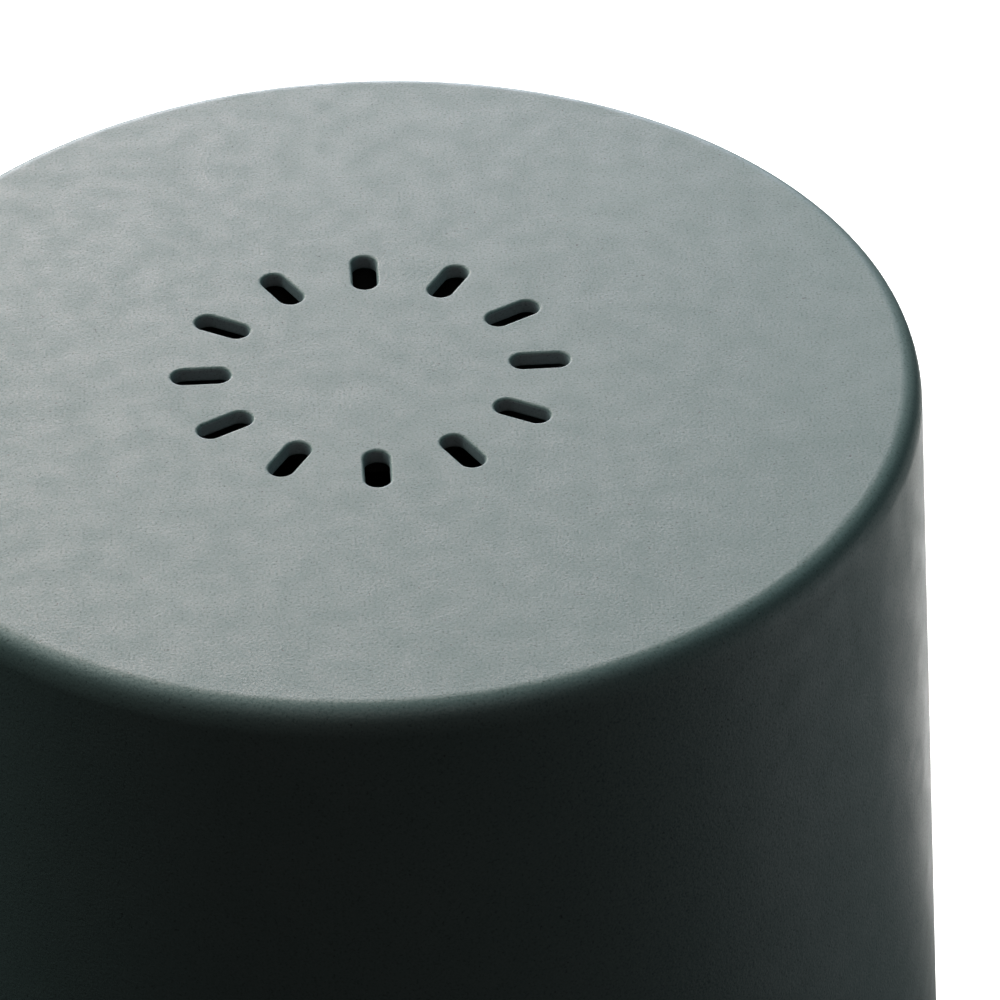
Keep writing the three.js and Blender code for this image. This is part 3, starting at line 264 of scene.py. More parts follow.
def add_node(tree, kind, inputs=None, **settings):
    """Adds a shader node. An input is either a plain value or another node's output."""
    made = tree.nodes.new("ShaderNode" + kind)
    for key, value in settings.items():
        setattr(made, key, value)
    for key, value in (inputs or {}).items():
        if isinstance(value, bpy.types.NodeSocket):
            tree.links.new(value, made.inputs[key])
        else:
            made.inputs[key].default_value = value
    return made


def start_finish(name, colour, roughness, **more):
    """A new finish, as its node tree. More values are sockets of the shader, with _ for spaces."""
    made = bpy.data.materials.new(name)
    made.use_nodes = True
    tree = made.node_tree
    shader = tree.nodes["Principled BSDF"]
    shader.inputs["Base Color"].default_value = paint(colour)
    shader.inputs["Roughness"].default_value = roughness
    for key, value in more.items():
        shader.inputs[key.replace("_", " ")].default_value = value
    return tree


def place(tree, stretch=(1, 1, 1)):
    """Where a point is on the object, stretched along each axis."""
    coordinates = add_node(tree, "TexCoord").outputs["Object"]
    return add_node(tree, "Mapping", {"Vector": coordinates, "Scale": stretch}).outputs[0]


def patches(tree, size, detail=2.0, stretch=(1, 1, 1)):
    """Soft random patches about this many millimetres across, from 0 to 1."""
    inputs = {"Vector": place(tree, stretch), "Scale": 1 / (size * MM), "Detail": detail}
    return add_node(tree, "TexNoise", inputs).outputs["Fac"]


def stretch_range(tree, source, low, high, to_low=0.0, to_high=1.0):
    """Values from low to high become to_low to to_high."""
    inputs = {"Value": source, "From Min": low, "From Max": high, "To Min": to_low, "To Max": to_high}
    return add_node(tree, "MapRange", inputs).outputs["Result"]


def between(tree, share, first, second):
    """A colour between two colours or outputs."""
    mix = add_node(tree, "Mix", data_type="RGBA")
    for socket, value in ((mix.inputs[0], share), (mix.inputs[6], first), (mix.inputs[7], second)):
        if isinstance(value, bpy.types.NodeSocket):
            tree.links.new(value, socket)
        else:
            socket.default_value = value
    return mix.outputs[2]


def arithmetic(tree, operation, first, second):
    """One sum on two numbers or outputs."""
    return add_node(tree, "Math", {0: first, 1: second}, operation=operation).outputs[0]


def feed(tree, **sockets):
    """Joins outputs to the shader's sockets, with _ for spaces."""
    shader = tree.nodes["Principled BSDF"]
    for key, source in sockets.items():
        tree.links.new(source, shader.inputs[key.replace("_", " ")])


def relief(tree, *layers):
    """Fine surface relief from layers of (height output, depth in millimetres, strength)."""
    normal = None
    for height, depth, strength in layers:
        inputs = {"Height": height, "Distance": depth * MM, "Strength": strength}
        if normal is not None:
            inputs["Normal"] = normal
        normal = add_node(tree, "Bump", inputs).outputs["Normal"]
    feed(tree, Normal=normal)


def finished(tree):
    """The material that a node tree belongs to."""
    return next(m for m in bpy.data.materials if m.node_tree == tree)


# %% [markdown]
# ### Powder coat
#
# Powder paint is sprayed on dry and melted in an oven, which leaves a fine, even orange peel: bumps a
# third of a millimetre across, a dull gloss, and a colour that is not perfectly even. Larger, faint
# clouds and small darker specks break up the grey-green, and painted shade darkens the pits of the finest
# grain.

# %% Powder coat on the metal cover
def powder_coat(name, light, dark, speck_and_pit_shade):
    """Paint whose colour drifts between two shades, with fine orange peel, rare specks and painted shade in
    the pits.
    """
    tree = start_finish(name, light, 0.56)
    peel = patches(tree, 0.3, detail=2.0)
    fine_grain = patches(tree, 0.2, detail=1.0)
    clouds = stretch_range(tree, patches(tree, 11, detail=4.0), 0.3, 0.7)
    colour = between(tree, clouds, paint(dark), paint(light))
    # Painted shade: the colour darkens towards the speck colour where the finest grain is lowest, in the
    # pits of the relief.
    pit_shade = stretch_range(tree, fine_grain, 0.4, 0.2, 0.0, 0.6)
    colour = between(tree, pit_shade, colour, paint(speck_and_pit_shade))
    specks = stretch_range(tree, patches(tree, 0.35, detail=1.0), 0.74, 0.79, 0.0, 0.8)
    colour = between(tree, specks, colour, paint(speck_and_pit_shade))
    feed(tree, Base_Color=colour)
    feed(tree, Specular_IOR_Level=stretch_range(tree, fine_grain, 0.3, 0.7, 0.3, 0.7))
    feed(tree, Roughness=stretch_range(tree, patches(tree, 2.5), 0.3, 0.7, 0.52, 0.6))
    relief(tree, (peel, 0.02, 1.0), (fine_grain, 0.012, 1.0))
    return finished(tree)


cover_coat = powder_coat("cover_coat", 0x4E605E, 0x4A5D5B, 0x26302F)
# A paler copy of the coat for the walls of the slots: painted light, standing in for the light that reaches
# into the slots.
slot_wall_painted_light = powder_coat("cover_coat_edge", 0x6C797B, 0x667376, 0x4A5456)

# %% [markdown]
# ### Moulded plastics
#
# A mould is spark-eroded so that the plastic comes out with a fine, pebbled grain that hides finger
# marks. One function serves the dark base, the black inner pieces and the white ones: only the colours,
# the gloss and the depth of the grain differ.

# %% Plastics
def moulded_plastic(name, light, dark, gloss, grain=0.25, depth=0.012, **more):
    """A moulded plastic whose colour drifts between two close shades."""
    tree = start_finish(name, light, gloss, **more)
    pebbles = patches(tree, grain, detail=1.0)
    drift = stretch_range(tree, patches(tree, 9, detail=3.0), 0.3, 0.7)
    feed(tree, Base_Color=between(tree, drift, paint(dark), paint(light)))
    feed(tree, Roughness=stretch_range(tree, patches(tree, 1.5), 0.3, 0.7, gloss - 0.05, gloss + 0.06))
    relief(tree, (pebbles, depth, 1.0))
    return finished(tree)


base_plastic = moulded_plastic("base_plastic", 0x33403F, 0x2C3837, 0.55)
black_plastic = moulded_plastic("black_plastic", 0x1B1D1E, 0x151717, 0.5)
white_plastic = moulded_plastic("white_plastic", 0xDEE0DC, 0xD3D6D1, 0.42, depth=0.006)
connector_nylon = moulded_plastic("connector_nylon", 0xE7E0CA, 0xDAD1B5, 0.45, depth=0.004)

# %% [markdown]
# The tank is polypropylene, which is milky: light goes a few millimetres in before it comes out again.
# Silicone does the same but is softer and duller, and rubber feet let nothing through.

# %% Milky and soft materials
milky = {"Subsurface_Weight": 0.6, "Subsurface_Radius": (1.0, 1.0, 1.0), "Subsurface_Scale": 0.004}
tank_plastic = moulded_plastic("tank_plastic", 0xEBEDEA, 0xDFE3DF, 0.33, depth=0.003, **milky)
silicone = moulded_plastic("silicone", 0xCDD0CC, 0xC0C4C0, 0.62, grain=0.5, depth=0.004, **milky)
rubber = moulded_plastic("rubber", 0x222323, 0x191A1A, 0.82, grain=0.4, depth=0.02)


# %% [markdown]
# ### Metals
#
# Zinc-plated screws, a sintered brass bearing and an extruded aluminium heat sink differ in colour and
# in the direction of their marks. Drawn and extruded metal is streaked along its length, which is noise
# squeezed along one axis.

# %% Metals
def worked_metal(name, light, dark, gloss, streak=(1, 1, 1), size=0.5, depth=0.004):
    """A bare metal with brighter and duller marks, which streak along an axis with a small number."""
    tree = start_finish(name, light, gloss, Metallic=1.0)
    marks = patches(tree, size, detail=3.0, stretch=streak)
    feed(tree, Base_Color=between(tree, stretch_range(tree, marks, 0.3, 0.7), paint(dark), paint(light)))
    feed(tree, Roughness=stretch_range(tree, marks, 0.3, 0.7, gloss - 0.08, gloss + 0.1))
    relief(tree, (marks, depth, 1.0))
    return finished(tree)


steel = worked_metal("steel", 0xC4C8CC, 0xA4A7A6, 0.28)
brass = worked_metal("brass", 0xB9954F, 0x93713A, 0.38, size=0.2)
aluminium = worked_metal("aluminium", 0xC3C6C9, 0xA9ACAF, 0.36, streak=(1, 1, 0.05), size=0.3)


# %% [markdown]
# ### Electronics
#
# The board's green lacquer lies over copper tracks, which show as slightly lighter, raised lines. A
# Voronoi pattern measured in steps along X and Y, rather than as the crow flies, gives lines that turn
# at right angles as tracks do.

# %% Circuit board, windings and electrodes
def circuit_board():
    """Green lacquer over raised copper tracks."""
    tree = start_finish("circuit_board", 0x1E5B3B, 0.32, Coat_Weight=0.4, Coat_Roughness=0.15)
    cells = add_node(tree, "TexVoronoi", {"Vector": place(tree), "Scale": 240.0},
                     feature="DISTANCE_TO_EDGE")
    tracks = stretch_range(tree, cells.outputs["Distance"], 0.10, 0.06)
    weave = stretch_range(tree, patches(tree, 0.7), 0.3, 0.7)
    lacquer = between(tree, weave, paint(0x17502F), paint(0x1D5C39))
    feed(tree, Base_Color=between(tree, tracks, lacquer, paint(0x2F7A50)))
    relief(tree, (tracks, 0.035, 1.0))
    return finished(tree)


def copper_winding():
    """Enamelled wire wound in even turns, a third of a millimetre apart."""
    tree = start_finish("copper_winding", 0xB4693C, 0.3, Metallic=1.0, Coat_Weight=0.5)
    inputs = {"Vector": place(tree), "Scale": 1 / (0.35 * MM) / 20, "Distortion": 0.6, "Detail": 1.0}
    turns = add_node(tree, "TexWave", inputs, bands_direction="Z").outputs["Fac"]
    feed(tree, Base_Color=between(tree, turns, paint(0x6E3418), paint(0xC27443)))
    relief(tree, (turns, 0.12, 1.0))
    return finished(tree)


def electrode_disc(silvered_radius=8.6):
    """Buff piezo ceramic with a fired silver electrode that stops short of the disc's edge."""
    tree = start_finish("transducer_ceramic", 0xD8CFAE, 0.4)
    flat = place(tree, stretch=(1, 1, 0))
    radius = add_node(tree, "VectorMath", {0: flat}, operation="LENGTH").outputs["Value"]
    edge = arithmetic(tree, "ADD", radius, arithmetic(tree, "MULTIPLY", patches(tree, 1.2), 0.3 * MM))
    silver = stretch_range(tree, edge, (silvered_radius + 0.1) * MM, silvered_radius * MM)
    bare = between(tree, patches(tree, 0.8), paint(0xCFC5A0), paint(0xDED6B8))
    feed(tree, Base_Color=between(tree, silver, bare, paint(0xBFC0BE)), Metallic=silver)
    feed(tree, Roughness=stretch_range(tree, patches(tree, 0.4), 0.3, 0.7, 0.3, 0.5))
    relief(tree, (patches(tree, 0.2), 0.006, 1.0))
    return finished(tree)


circuit_lacquer = circuit_board()
winding = copper_winding()
ceramic = electrode_disc()
sleeve = moulded_plastic("capacitor_sleeve", 0x222B4C, 0x1B2340, 0.3, grain=0.9, depth=0.004)
wire_jacket = moulded_plastic("lead_sleeve", 0x9A2320, 0x861B19, 0.42, grain=0.6, depth=0.006)


# %% [markdown]
# The indicator's lens is clear acrylic, frosted inside so that it glows evenly when the light behind it
# is on.

# %% Clear lens
def clear_lens():
    """Clear acrylic with a slightly uneven frost."""
    tree = start_finish("clear_lens", 0xEAF4F0, 0.18, Transmission_Weight=0.85, IOR=1.49)
    feed(tree, Roughness=stretch_range(tree, patches(tree, 0.5), 0.3, 0.7, 0.12, 0.3))
    feed(tree, Base_Color=between(tree, patches(tree, 2), paint(0xE4F0EA), paint(0xF0F8F4)))
    relief(tree, (patches(tree, 0.2), 0.004, 1.0))
    return finished(tree)


lens_acrylic = clear_lens()
print("finishes:", len(bpy.data.materials))

# %% [markdown]
# ## Ways of working
#
# Most pieces are round, so they are turned as on a lathe: one point is placed, extruded along the
# outline and spun about the axis. Holes are cut and ribs are joined with booleans, and edges get a
# small bevel, because a moulded or pressed edge is never razor sharp and the bevel catches the light.
# An operator acts on all that is selected, so everything is deselected first.

# %% Picking and settling
def deselect_all():
    """Leaves edit mode and deselects everything."""
    if bpy.context.object and bpy.context.object.mode != "OBJECT":
        bpy.ops.object.mode_set(mode="OBJECT")
    bpy.ops.object.select_all(action="DESELECT")


def pick(*pieces):
    """Selects these pieces only. The first one becomes the active one."""
    deselect_all()
    for piece in pieces:
        piece.select_set(True)
    bpy.context.view_layer.objects.active = pieces[0]


def settle(piece):
    """Moves the piece's place, turn and scale into its mesh, so its object sits at the origin."""
    pick(piece)
    bpy.ops.object.transform_apply(location=True, rotation=True, scale=True)
    return piece


def edit_all(piece):
    """Enters edit mode on a piece with everything in it selected."""
    pick(piece)
    bpy.ops.object.mode_set(mode="EDIT")
    bpy.ops.mesh.select_all(action="SELECT")


def select_where(piece, kind, test):
    """In edit mode, selects the "verts", "edges" or "faces" that pass a test."""
    mesh = bmesh.from_edit_mesh(piece.data)
    for part in (mesh.verts, mesh.edges, mesh.faces):
        for element in part:
            element.select = False
    for element in getattr(mesh, kind):
        if test(element):
            element.select_set(True)
    bmesh.update_edit_mesh(piece.data)


# %% The lathe
def arc(centre_r, centre_z, radius, start, end, steps=6):
    """Points of a round stretch of an outline, from one angle to another in degrees."""
    angles = [math.radians(start + (end - start) * i / steps) for i in range(steps + 1)]
    return [(centre_r + radius * math.cos(a), centre_z + radius * math.sin(a)) for a in angles]


def lathe(name, outline, steps=96, centre=(0, 0), axis="Z"):
    """Spins an outline of (radius, distance along the axis) points in millimetres.

    The centre is x, y for an upright axis and x, z for an axis along Y.
    """
    def point(radius, along):
        """The place of an outline point, in metres."""
        if axis == "Z":
            return Vector((centre[0] + radius, centre[1], along)) * MM
        return Vector((centre[0] + radius, along, centre[1])) * MM

    deselect_all()
    bpy.ops.mesh.primitive_plane_add(size=MM, location=point(*outline[0]))
    piece = bpy.context.object
    piece.name = name
    bpy.ops.object.mode_set(mode="EDIT")
    bpy.ops.mesh.merge(type="CENTER")
    for here, there in zip(outline, outline[1:]):
        move = point(*there) - point(*here)
        bpy.ops.mesh.extrude_region_move(TRANSFORM_OT_translate={"value": move})
    bpy.ops.mesh.select_all(action="SELECT")
    bpy.ops.mesh.remove_doubles(threshold=1e-7)
    direction = (0, 0, 1) if axis == "Z" else (0, 1, 0)
    bpy.ops.mesh.spin(steps=steps, angle=2 * math.pi, center=point(0, 0), axis=direction)
    bpy.ops.mesh.select_all(action="SELECT")
    bpy.ops.mesh.remove_doubles(threshold=1e-6)
    bpy.ops.mesh.normals_make_consistent(inside=False)
    bpy.ops.object.mode_set(mode="OBJECT")
    return settle(piece)


def closed(outline):
    """An outline that ends where it starts, for a piece with a hole through its middle."""
    return [*outline, outline[0]]


def on_ring(radius, turn):
    """The x, y of a point on a ring, by its angle in degrees."""
    return radius * math.cos(math.radians(turn)), radius * math.sin(math.radians(turn))


# %% Bars, rods and slots to cut and join with
def rod(radius, low, high, centre=(0, 0), axis="Z", sides=48):
    """A cylinder from low to high along an axis. The centre is as for the lathe."""
    deselect_all()
    middle = (low + high) / 2
    place_at = (centre[0], centre[1], middle) if axis == "Z" else (centre[0], middle, centre[1])
    turned = (0, 0, 0) if axis == "Z" else (math.pi / 2, 0, 0)
    bpy.ops.mesh.primitive_cylinder_add(
        vertices=sides, radius=radius * MM, depth=(high - low) * MM, location=Vector(place_at) * MM,
        rotation=turned,
    )
    return settle(bpy.context.object)


def bar(low, high, turn=0):
    """A box from corner to corner, turned about the upright axis by an angle in degrees."""
    deselect_all()
    low, high = Vector(low), Vector(high)
    bpy.ops.mesh.primitive_cube_add(size=1, location=(low + high) / 2 * MM, scale=(high - low) * MM)
    piece = settle(bpy.context.object)
    piece.rotation_euler.z = math.radians(turn)
    return settle(piece)


def capsule(length, width, radius, low, high, turn=0, sides=32):
    """A bar with round ends on a spoke: a cylinder whose two halves are pulled apart."""
    tool = rod(width / 2, low, high, (radius, 0), sides=sides)
    edit_all(tool)
    half_step = math.pi / sides
    bpy.ops.transform.rotate(value=half_step, orient_axis="Z", center_override=(radius * MM, 0, 0))
    for side in (1, -1):
        select_where(tool, "verts", lambda v: side * (v.co.x - radius * MM) > 0)
        bpy.ops.transform.translate(value=(side * (length - width) / 2 * MM, 0, 0))
    bpy.ops.object.mode_set(mode="OBJECT")
    tool.rotation_euler.z = math.radians(turn)
    return settle(tool)


# %% Joining, cutting and softening
def apply_modifier(piece, kind, **settings):
    """Adds a modifier with these settings and applies it."""
    modifier = piece.modifiers.new(kind.lower(), kind)
    for key, value in settings.items():
        setattr(modifier, key, value)
    pick(piece)
    bpy.ops.object.modifier_apply(modifier=modifier.name)


def combine(operation, piece, tools):
    """Joins, cuts or trims a piece with tools, which are used up."""
    for tool in tools:
        apply_modifier(piece, "BOOLEAN", operation=operation, object=tool, solver="EXACT")
        bpy.data.objects.remove(tool)
    return piece


def weld(piece, *tools):
    """Joins tools to a piece."""
    return combine("UNION", piece, tools)


def cut(piece, *tools):
    """Cuts tools out of a piece."""
    return combine("DIFFERENCE", piece, tools)


def keep_inside(piece, tool):
    """Cuts away what lies outside a tool."""
    return combine("INTERSECT", piece, [tool])


def tidy_faces(piece):
    """Merges stray points and dissolves lines inside flat faces."""
    edit_all(piece)
    bpy.ops.mesh.remove_doubles(threshold=2e-6)
    bpy.ops.mesh.dissolve_limited(angle_limit=math.radians(0.3))
    bpy.ops.object.mode_set(mode="OBJECT")


def soften(piece, width=0.2, segments=2, sharper_than=35):
    """Rounds the edges that are sharper than an angle, and shades the rest smooth."""
    if width:
        apply_modifier(
            piece, "BEVEL", width=width * MM, segments=segments, limit_method="ANGLE",
            angle_limit=math.radians(sharper_than), use_clamp_overlap=True, miter_outer="MITER_ARC",
        )
    pick(piece)
    bpy.ops.object.shade_smooth_by_angle(angle=math.radians(sharper_than))
    apply_modifier(piece, "WEIGHTED_NORMAL", keep_sharp=True)
    return piece


# %% [markdown]
# A finished piece gets a finish, hides the measured node that it stands for, and rides on that node's
# body, so that it moves when the cover is lifted or a button is pressed. Only the three leads are copied
# from the measured model: their loose triangles are merged into whole faces first.

# %% Finishing a piece
BODY_OF = {node: body for body, nodes in frame["record"]["behaviour"]["bodies"].items() for node in nodes}


def complete(piece, node, finish):
    """Names, paints and mounts a piece in place of a node of the measured model."""
    piece.data.materials.clear()
    piece.data.materials.append(finish)
    shape = node + "_shape"
    if shape not in bpy.data.objects:
        piece.name = shape
    piece.data.name = piece.name
    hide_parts(node)
    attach(piece, BODY_OF[node])
    size = piece.dimensions / MM
    print(f"{piece.name}: {size.x:.1f} x {size.y:.1f} x {size.z:.1f} mm, {len(piece.data.polygons)} faces")
    return piece


def refine(node, finish):
    """Copies a node of the measured model, makes its faces whole and shades them smooth."""
    piece = bpy.data.objects.new(node + "_shape", frame["nodes"][node].data.copy())
    bpy.context.scene.collection.objects.link(piece)
    edit_all(piece)
    bpy.ops.mesh.remove_doubles(threshold=1e-6)
    bpy.ops.mesh.customdata_custom_splitnormals_clear()
    bpy.ops.mesh.dissolve_limited(angle_limit=math.radians(0.5))
    bpy.ops.object.mode_set(mode="OBJECT")
    soften(piece, 0)
    return complete(piece, node, finish)


# %% [markdown]
# ## Cover
#
# The cover is drawn from one sheet of metal: a flat top, a rounded edge and a side that widens
# downwards. The edge turns down quickly from the top and then runs out gently into the side. So it is
# two arcs that run on from each other, a small one and a large one, where the measured model has a
# single round.

# %% Cover shell
def run_of_arcs(first_centre, arcs, steps):
    """Arcs (radius, from angle, to angle) that run on from each other without a corner."""
    points, (centre_r, centre_z) = [], first_centre
    for radius, start, end in arcs:
        points += arc(centre_r, centre_z, radius, start, end, steps)[bool(points):]
        last_r, last_z = points[-1]
        follower = arcs[min(arcs.index((radius, start, end)) + 1, len(arcs) - 1)][0]
        centre_r = last_r - follower * math.cos(math.radians(end))
        centre_z = last_z - follower * math.sin(math.radians(end))
    return points


EDGE_ARCS = [(1.7, 90, 22), (4.5, 22, SIDE_ANGLE)]
edge = run_of_arcs((0, HEIGHT - EDGE_ARCS[0][0]), EDGE_ARCS, steps=8)
shift = outer_radius(edge[-1][1]) - edge[-1][0]
edge = [(r + shift, z) for r, z in edge]
INNER_ROUND = 0.6
inner_corner = cover_inside(HEIGHT - COVER_WALL) - INNER_ROUND

cover_outline = [
    (0, HEIGHT), *edge, (RIM_RADIUS, RIM_Z), (cover_inside(RIM_Z), RIM_Z),
    *arc(inner_corner, HEIGHT - COVER_WALL - INNER_ROUND, INNER_ROUND, 0, 90, 4),
    (0, HEIGHT - COVER_WALL),
]
cover = lathe("cover", cover_outline, steps=192)
tidy_faces(cover)

# %% [markdown]
# Twelve slots let the mist out. One punch is shaped as a bar with round ends, and a spin that copies
# instead of joining makes the ring of twelve. The punch is a little smaller than the slot, because the
# rounded edge widens it again. The walls of the slots are painted a paler copy of the coat: painted light,
# which stands in for the light that reaches into the slots, so that they stand out against the dark inside.

# %% Mist slots
SLOT_COUNT, SLOT_RING, SLOT_LENGTH, SLOT_WIDTH = 12, 14.2, 5.2, 2.4
SLOT_EDGE = 0.3
UPRIGHT = 0.3  # a wall's normal leans less than this out of the level

punch = capsule(SLOT_LENGTH - SLOT_EDGE, SLOT_WIDTH - SLOT_EDGE, SLOT_RING, HEIGHT - 3, HEIGHT + 1)
edit_all(punch)
step = 2 * math.pi / SLOT_COUNT
bpy.ops.mesh.spin(steps=SLOT_COUNT - 1, angle=step * (SLOT_COUNT - 1), dupli=True, axis=(0, 0, 1))
bpy.ops.object.mode_set(mode="OBJECT")
cut(cover, punch)
soften(cover, SLOT_EDGE, segments=4)
complete(cover, "cover_shell", cover_coat)
# The walls of the slots take the paler coat: painted light that brightens them against the dark inside.
cover.data.materials.append(slot_wall_painted_light)
walls = 0
for face in cover.data.polygons:
    if abs(face.normal.z) < UPRIGHT and face.center.xy.length < (SLOT_RING + SLOT_LENGTH) * MM:
        face.material_index = 1
        walls += 1
print("slot wall faces:", walls)

# %% [markdown]
# A funnel under the top gathers the mist, and a cone in its middle turns it outwards to the slots. Four
# ribs between the slots carry the cone. Through the slots one sees only a little of it, in the dark.

# %% Mist guide
FUNNEL_WALL, THROAT_RADIUS, CONE_RADIUS = 1.3, 18, 10.6
guide_low, guide_high = span("mist_guide")
FLANGE_RADIUS, MOUTH_RADIUS, CONE_TIP_Z = guide_high.x, 15, 168.5
flange_z = guide_high.z - FUNNEL_WALL

funnel = lathe("funnel", closed([
    (MOUTH_RADIUS + 0.4, guide_low.z), (MOUTH_RADIUS + FUNNEL_WALL - 0.3, guide_low.z),
    (MOUTH_RADIUS + FUNNEL_WALL, guide_low.z + 0.4),
    *arc(THROAT_RADIUS + FUNNEL_WALL + 1, flange_z - 1, 1, 180, 90, 4),
    (FLANGE_RADIUS, flange_z), (FLANGE_RADIUS, guide_high.z), (THROAT_RADIUS, guide_high.z),
    (MOUTH_RADIUS, guide_low.z + 0.4),
]))
cone = lathe("cone", [
    *arc(0, CONE_TIP_Z + 1.2, 1.2, -90, -45, 4), (CONE_RADIUS, flange_z),
    (CONE_RADIUS, guide_high.z), (0, guide_high.z),
])
ribs = [
    bar((CONE_RADIUS - 1.85, -0.6, flange_z + 0.1), (THROAT_RADIUS + 0.75, 0.6, guide_high.z), turn)
    for turn in range(15, 375, 90)
]
weld(funnel, cone, *ribs)
soften(funnel, 0.15)
complete(funnel, "mist_guide", black_plastic)

# %% [markdown]
# A plastic ring inside the rim slides over the base. A notch at the back fits over a key on the base,
# so the cover only goes on one way round.

# %% Rim ring
ring_low, ring_high = span("cover_rim_ring")
LOCATING_RADIUS, SLIDE_CLEARANCE, KEY_WIDTH, KEY_HEIGHT = 49.9, 0.5, 6, 0.5
ring_inside = LOCATING_RADIUS + SLIDE_CLEARANCE
RING_GAP = 0.3

rim_ring = lathe("rim_ring", closed([
    (ring_inside + 0.8, ring_low.z), (cover_inside(ring_low.z) - RING_GAP, ring_low.z),
    (cover_inside(ring_high.z) - RING_GAP, ring_high.z), (ring_inside, ring_high.z),
    (ring_inside, ring_low.z + 1.6),
]), steps=160)
half_notch = KEY_WIDTH / 2 + SLIDE_CLEARANCE
notch = bar(
    (-half_notch, ring_inside - 2, ring_low.z - 1),
    (half_notch, LOCATING_RADIUS + KEY_HEIGHT + 0.4, ring_high.z + 1),
)
cut(rim_ring, notch)
soften(rim_ring, 0.15)
complete(rim_ring, "cover_rim_ring", black_plastic)

# %% [markdown]
# ## Mist hood
#
# Under the cover a white inner lid closes the tank: a dome that rises to a chimney, and a skirt that
# plugs into the tank's mouth. It is one thin wall, so its outline goes up the outside and comes back
# down the inside. The corners that a mould would round are arcs.

# %% Hood
hood_low, hood_high = span("mist_hood")
tank_low, tank_high = span("water_tank")
TANK_GAP = 0.3
HOOD_WALL, HOOD_ROUND, SKIRT_WALL, SEAL_GROOVE = 1.8, 8, 1.6, 1
SHOULDER_RADIUS, CHIMNEY_RADIUS, SKIRT_RADIUS = 34, 9.4, 41
CHIMNEY_FOOT_Z = 134
hood_z = tank_high.z + TANK_GAP
hood_rim = hood_high.x
shoulder_z = hood_z + 9
chimney_z = hood_high.z - 0.4
neck_z = CHIMNEY_FOOT_Z - 0.6
seal_low, seal_high = span("hood_seal")
groove_radius = SKIRT_RADIUS - SEAL_GROOVE
skirt_inside = groove_radius - SKIRT_WALL

hood = lathe("hood", closed([
    (CHIMNEY_RADIUS, chimney_z), *arc(CHIMNEY_RADIUS + 0.8, chimney_z, 0.4, 150, 30, 4),
    (CHIMNEY_RADIUS + 1.6, chimney_z), (CHIMNEY_RADIUS + 2.6, CHIMNEY_FOOT_Z + 2),
    (CHIMNEY_RADIUS + 3.4, neck_z + 0.9), (CHIMNEY_RADIUS + 5.1, neck_z),
    (SHOULDER_RADIUS, shoulder_z), *arc(hood_rim - HOOD_ROUND, hood_z + 2, HOOD_ROUND, 40, 0, 8),
    (hood_rim, hood_z), (SKIRT_RADIUS, hood_z),
    (SKIRT_RADIUS, seal_high.z + 0.3), (groove_radius, seal_high.z + 0.3),
    (groove_radius, seal_low.z - 0.3), (SKIRT_RADIUS, seal_low.z - 0.3),
    (SKIRT_RADIUS, hood_low.z + 0.6), (SKIRT_RADIUS - 0.6, hood_low.z),
    (skirt_inside, hood_low.z), (skirt_inside, hood_z + 1),
    (SHOULDER_RADIUS - 0.5, shoulder_z - HOOD_WALL),
    (CHIMNEY_RADIUS + 4.2, neck_z - HOOD_WALL), (CHIMNEY_RADIUS + 1.1, CHIMNEY_FOOT_Z + 1),
]), steps=128)
soften(hood, 0.25)
complete(hood, "mist_hood", white_plastic)

# %% [markdown]
# A silicone ring in the skirt's groove seals the hood in the tank. Its outside has two soft lips. Under
# the chimney hangs a small disc that catches splashes.

# %% Hood seal and splash baffle
seal_height = seal_high.z - seal_low.z
LIP_RADIUS = seal_height / 4
seal_inside, seal_outside = groove_radius + 0.3, seal_high.x
seal = lathe("seal", closed([
    (seal_inside, seal_low.z),
    *arc(seal_outside - LIP_RADIUS, seal_low.z + LIP_RADIUS, LIP_RADIUS, -90, 70, 5),
    *arc(seal_outside - LIP_RADIUS, seal_high.z - LIP_RADIUS, LIP_RADIUS, -70, 90, 5),
    (seal_inside, seal_high.z),
]), steps=128)
soften(seal, 0)
complete(seal, "hood_seal", silicone)

baffle_low, baffle_high = span("splash_baffle")
DISC_RADIUS, HANGER_INSIDE, HANGER_OUTSIDE, HANGER_HEIGHT = 12.5, 7.4, 9, 3.5
hanger_z = baffle_high.z - HANGER_HEIGHT
disc = lathe("disc", [
    (0, baffle_low.z), (DISC_RADIUS - 0.3, baffle_low.z),
    *arc(DISC_RADIUS - 0.6, baffle_low.z + 0.6, 0.6, -60, 90, 5),
    (DISC_RADIUS * 0.6, baffle_low.z + 1.8), (0, baffle_low.z + 2.2),
], steps=64)
hanger = lathe("hanger", closed([
    (HANGER_INSIDE, hanger_z), (HANGER_OUTSIDE, hanger_z),
    (HANGER_OUTSIDE, baffle_high.z), (HANGER_INSIDE, baffle_high.z),
]), steps=64)
leg_radius = (HANGER_INSIDE + HANGER_OUTSIDE) / 2
leg_points = [on_ring(leg_radius, turn) for turn in (30, 150, 270)]
legs = [rod(0.75, baffle_low.z + 1, hanger_z + 1, p, sides=16) for p in leg_points]
weld(disc, hanger, *legs)
soften(disc, 0.15)
complete(disc, "splash_baffle", white_plastic)

# %% [markdown]
# ## Water tank
#
# A deep milky bowl follows the taper of the cover. Its floor slopes to a well in the middle, where the
# transducer shakes the water. The wall is 2 mm thick, and a fine rib inside marks the water line. Below
# the floor are posts for the screws, and a collar carries the air pipe.

# %% Tank bowl
TANK_CLEARANCE, TANK_WALL, WELL_RADIUS, EXPOSED_RADIUS = 2.6, 2, 12.3, 8
DRUM_RADIUS, HOUSING_WALL, DRUM_TOP_Z = 47.2, 2.2, 62
FLOOR_Z, WELL_FLOOR_Z, WELL_FOOT_Z = 57, 52, 46.6
WATER_LINE_Z, WATER_LINE_HEIGHT = 92, 0.7


def tank_outside(z):
    """The radius of the outside of the tank at a height."""
    return cover_inside(z) - TANK_CLEARANCE


def tank_inside(z):
    """The radius of the inside of the tank at a height."""
    return tank_outside(z) - TANK_WALL


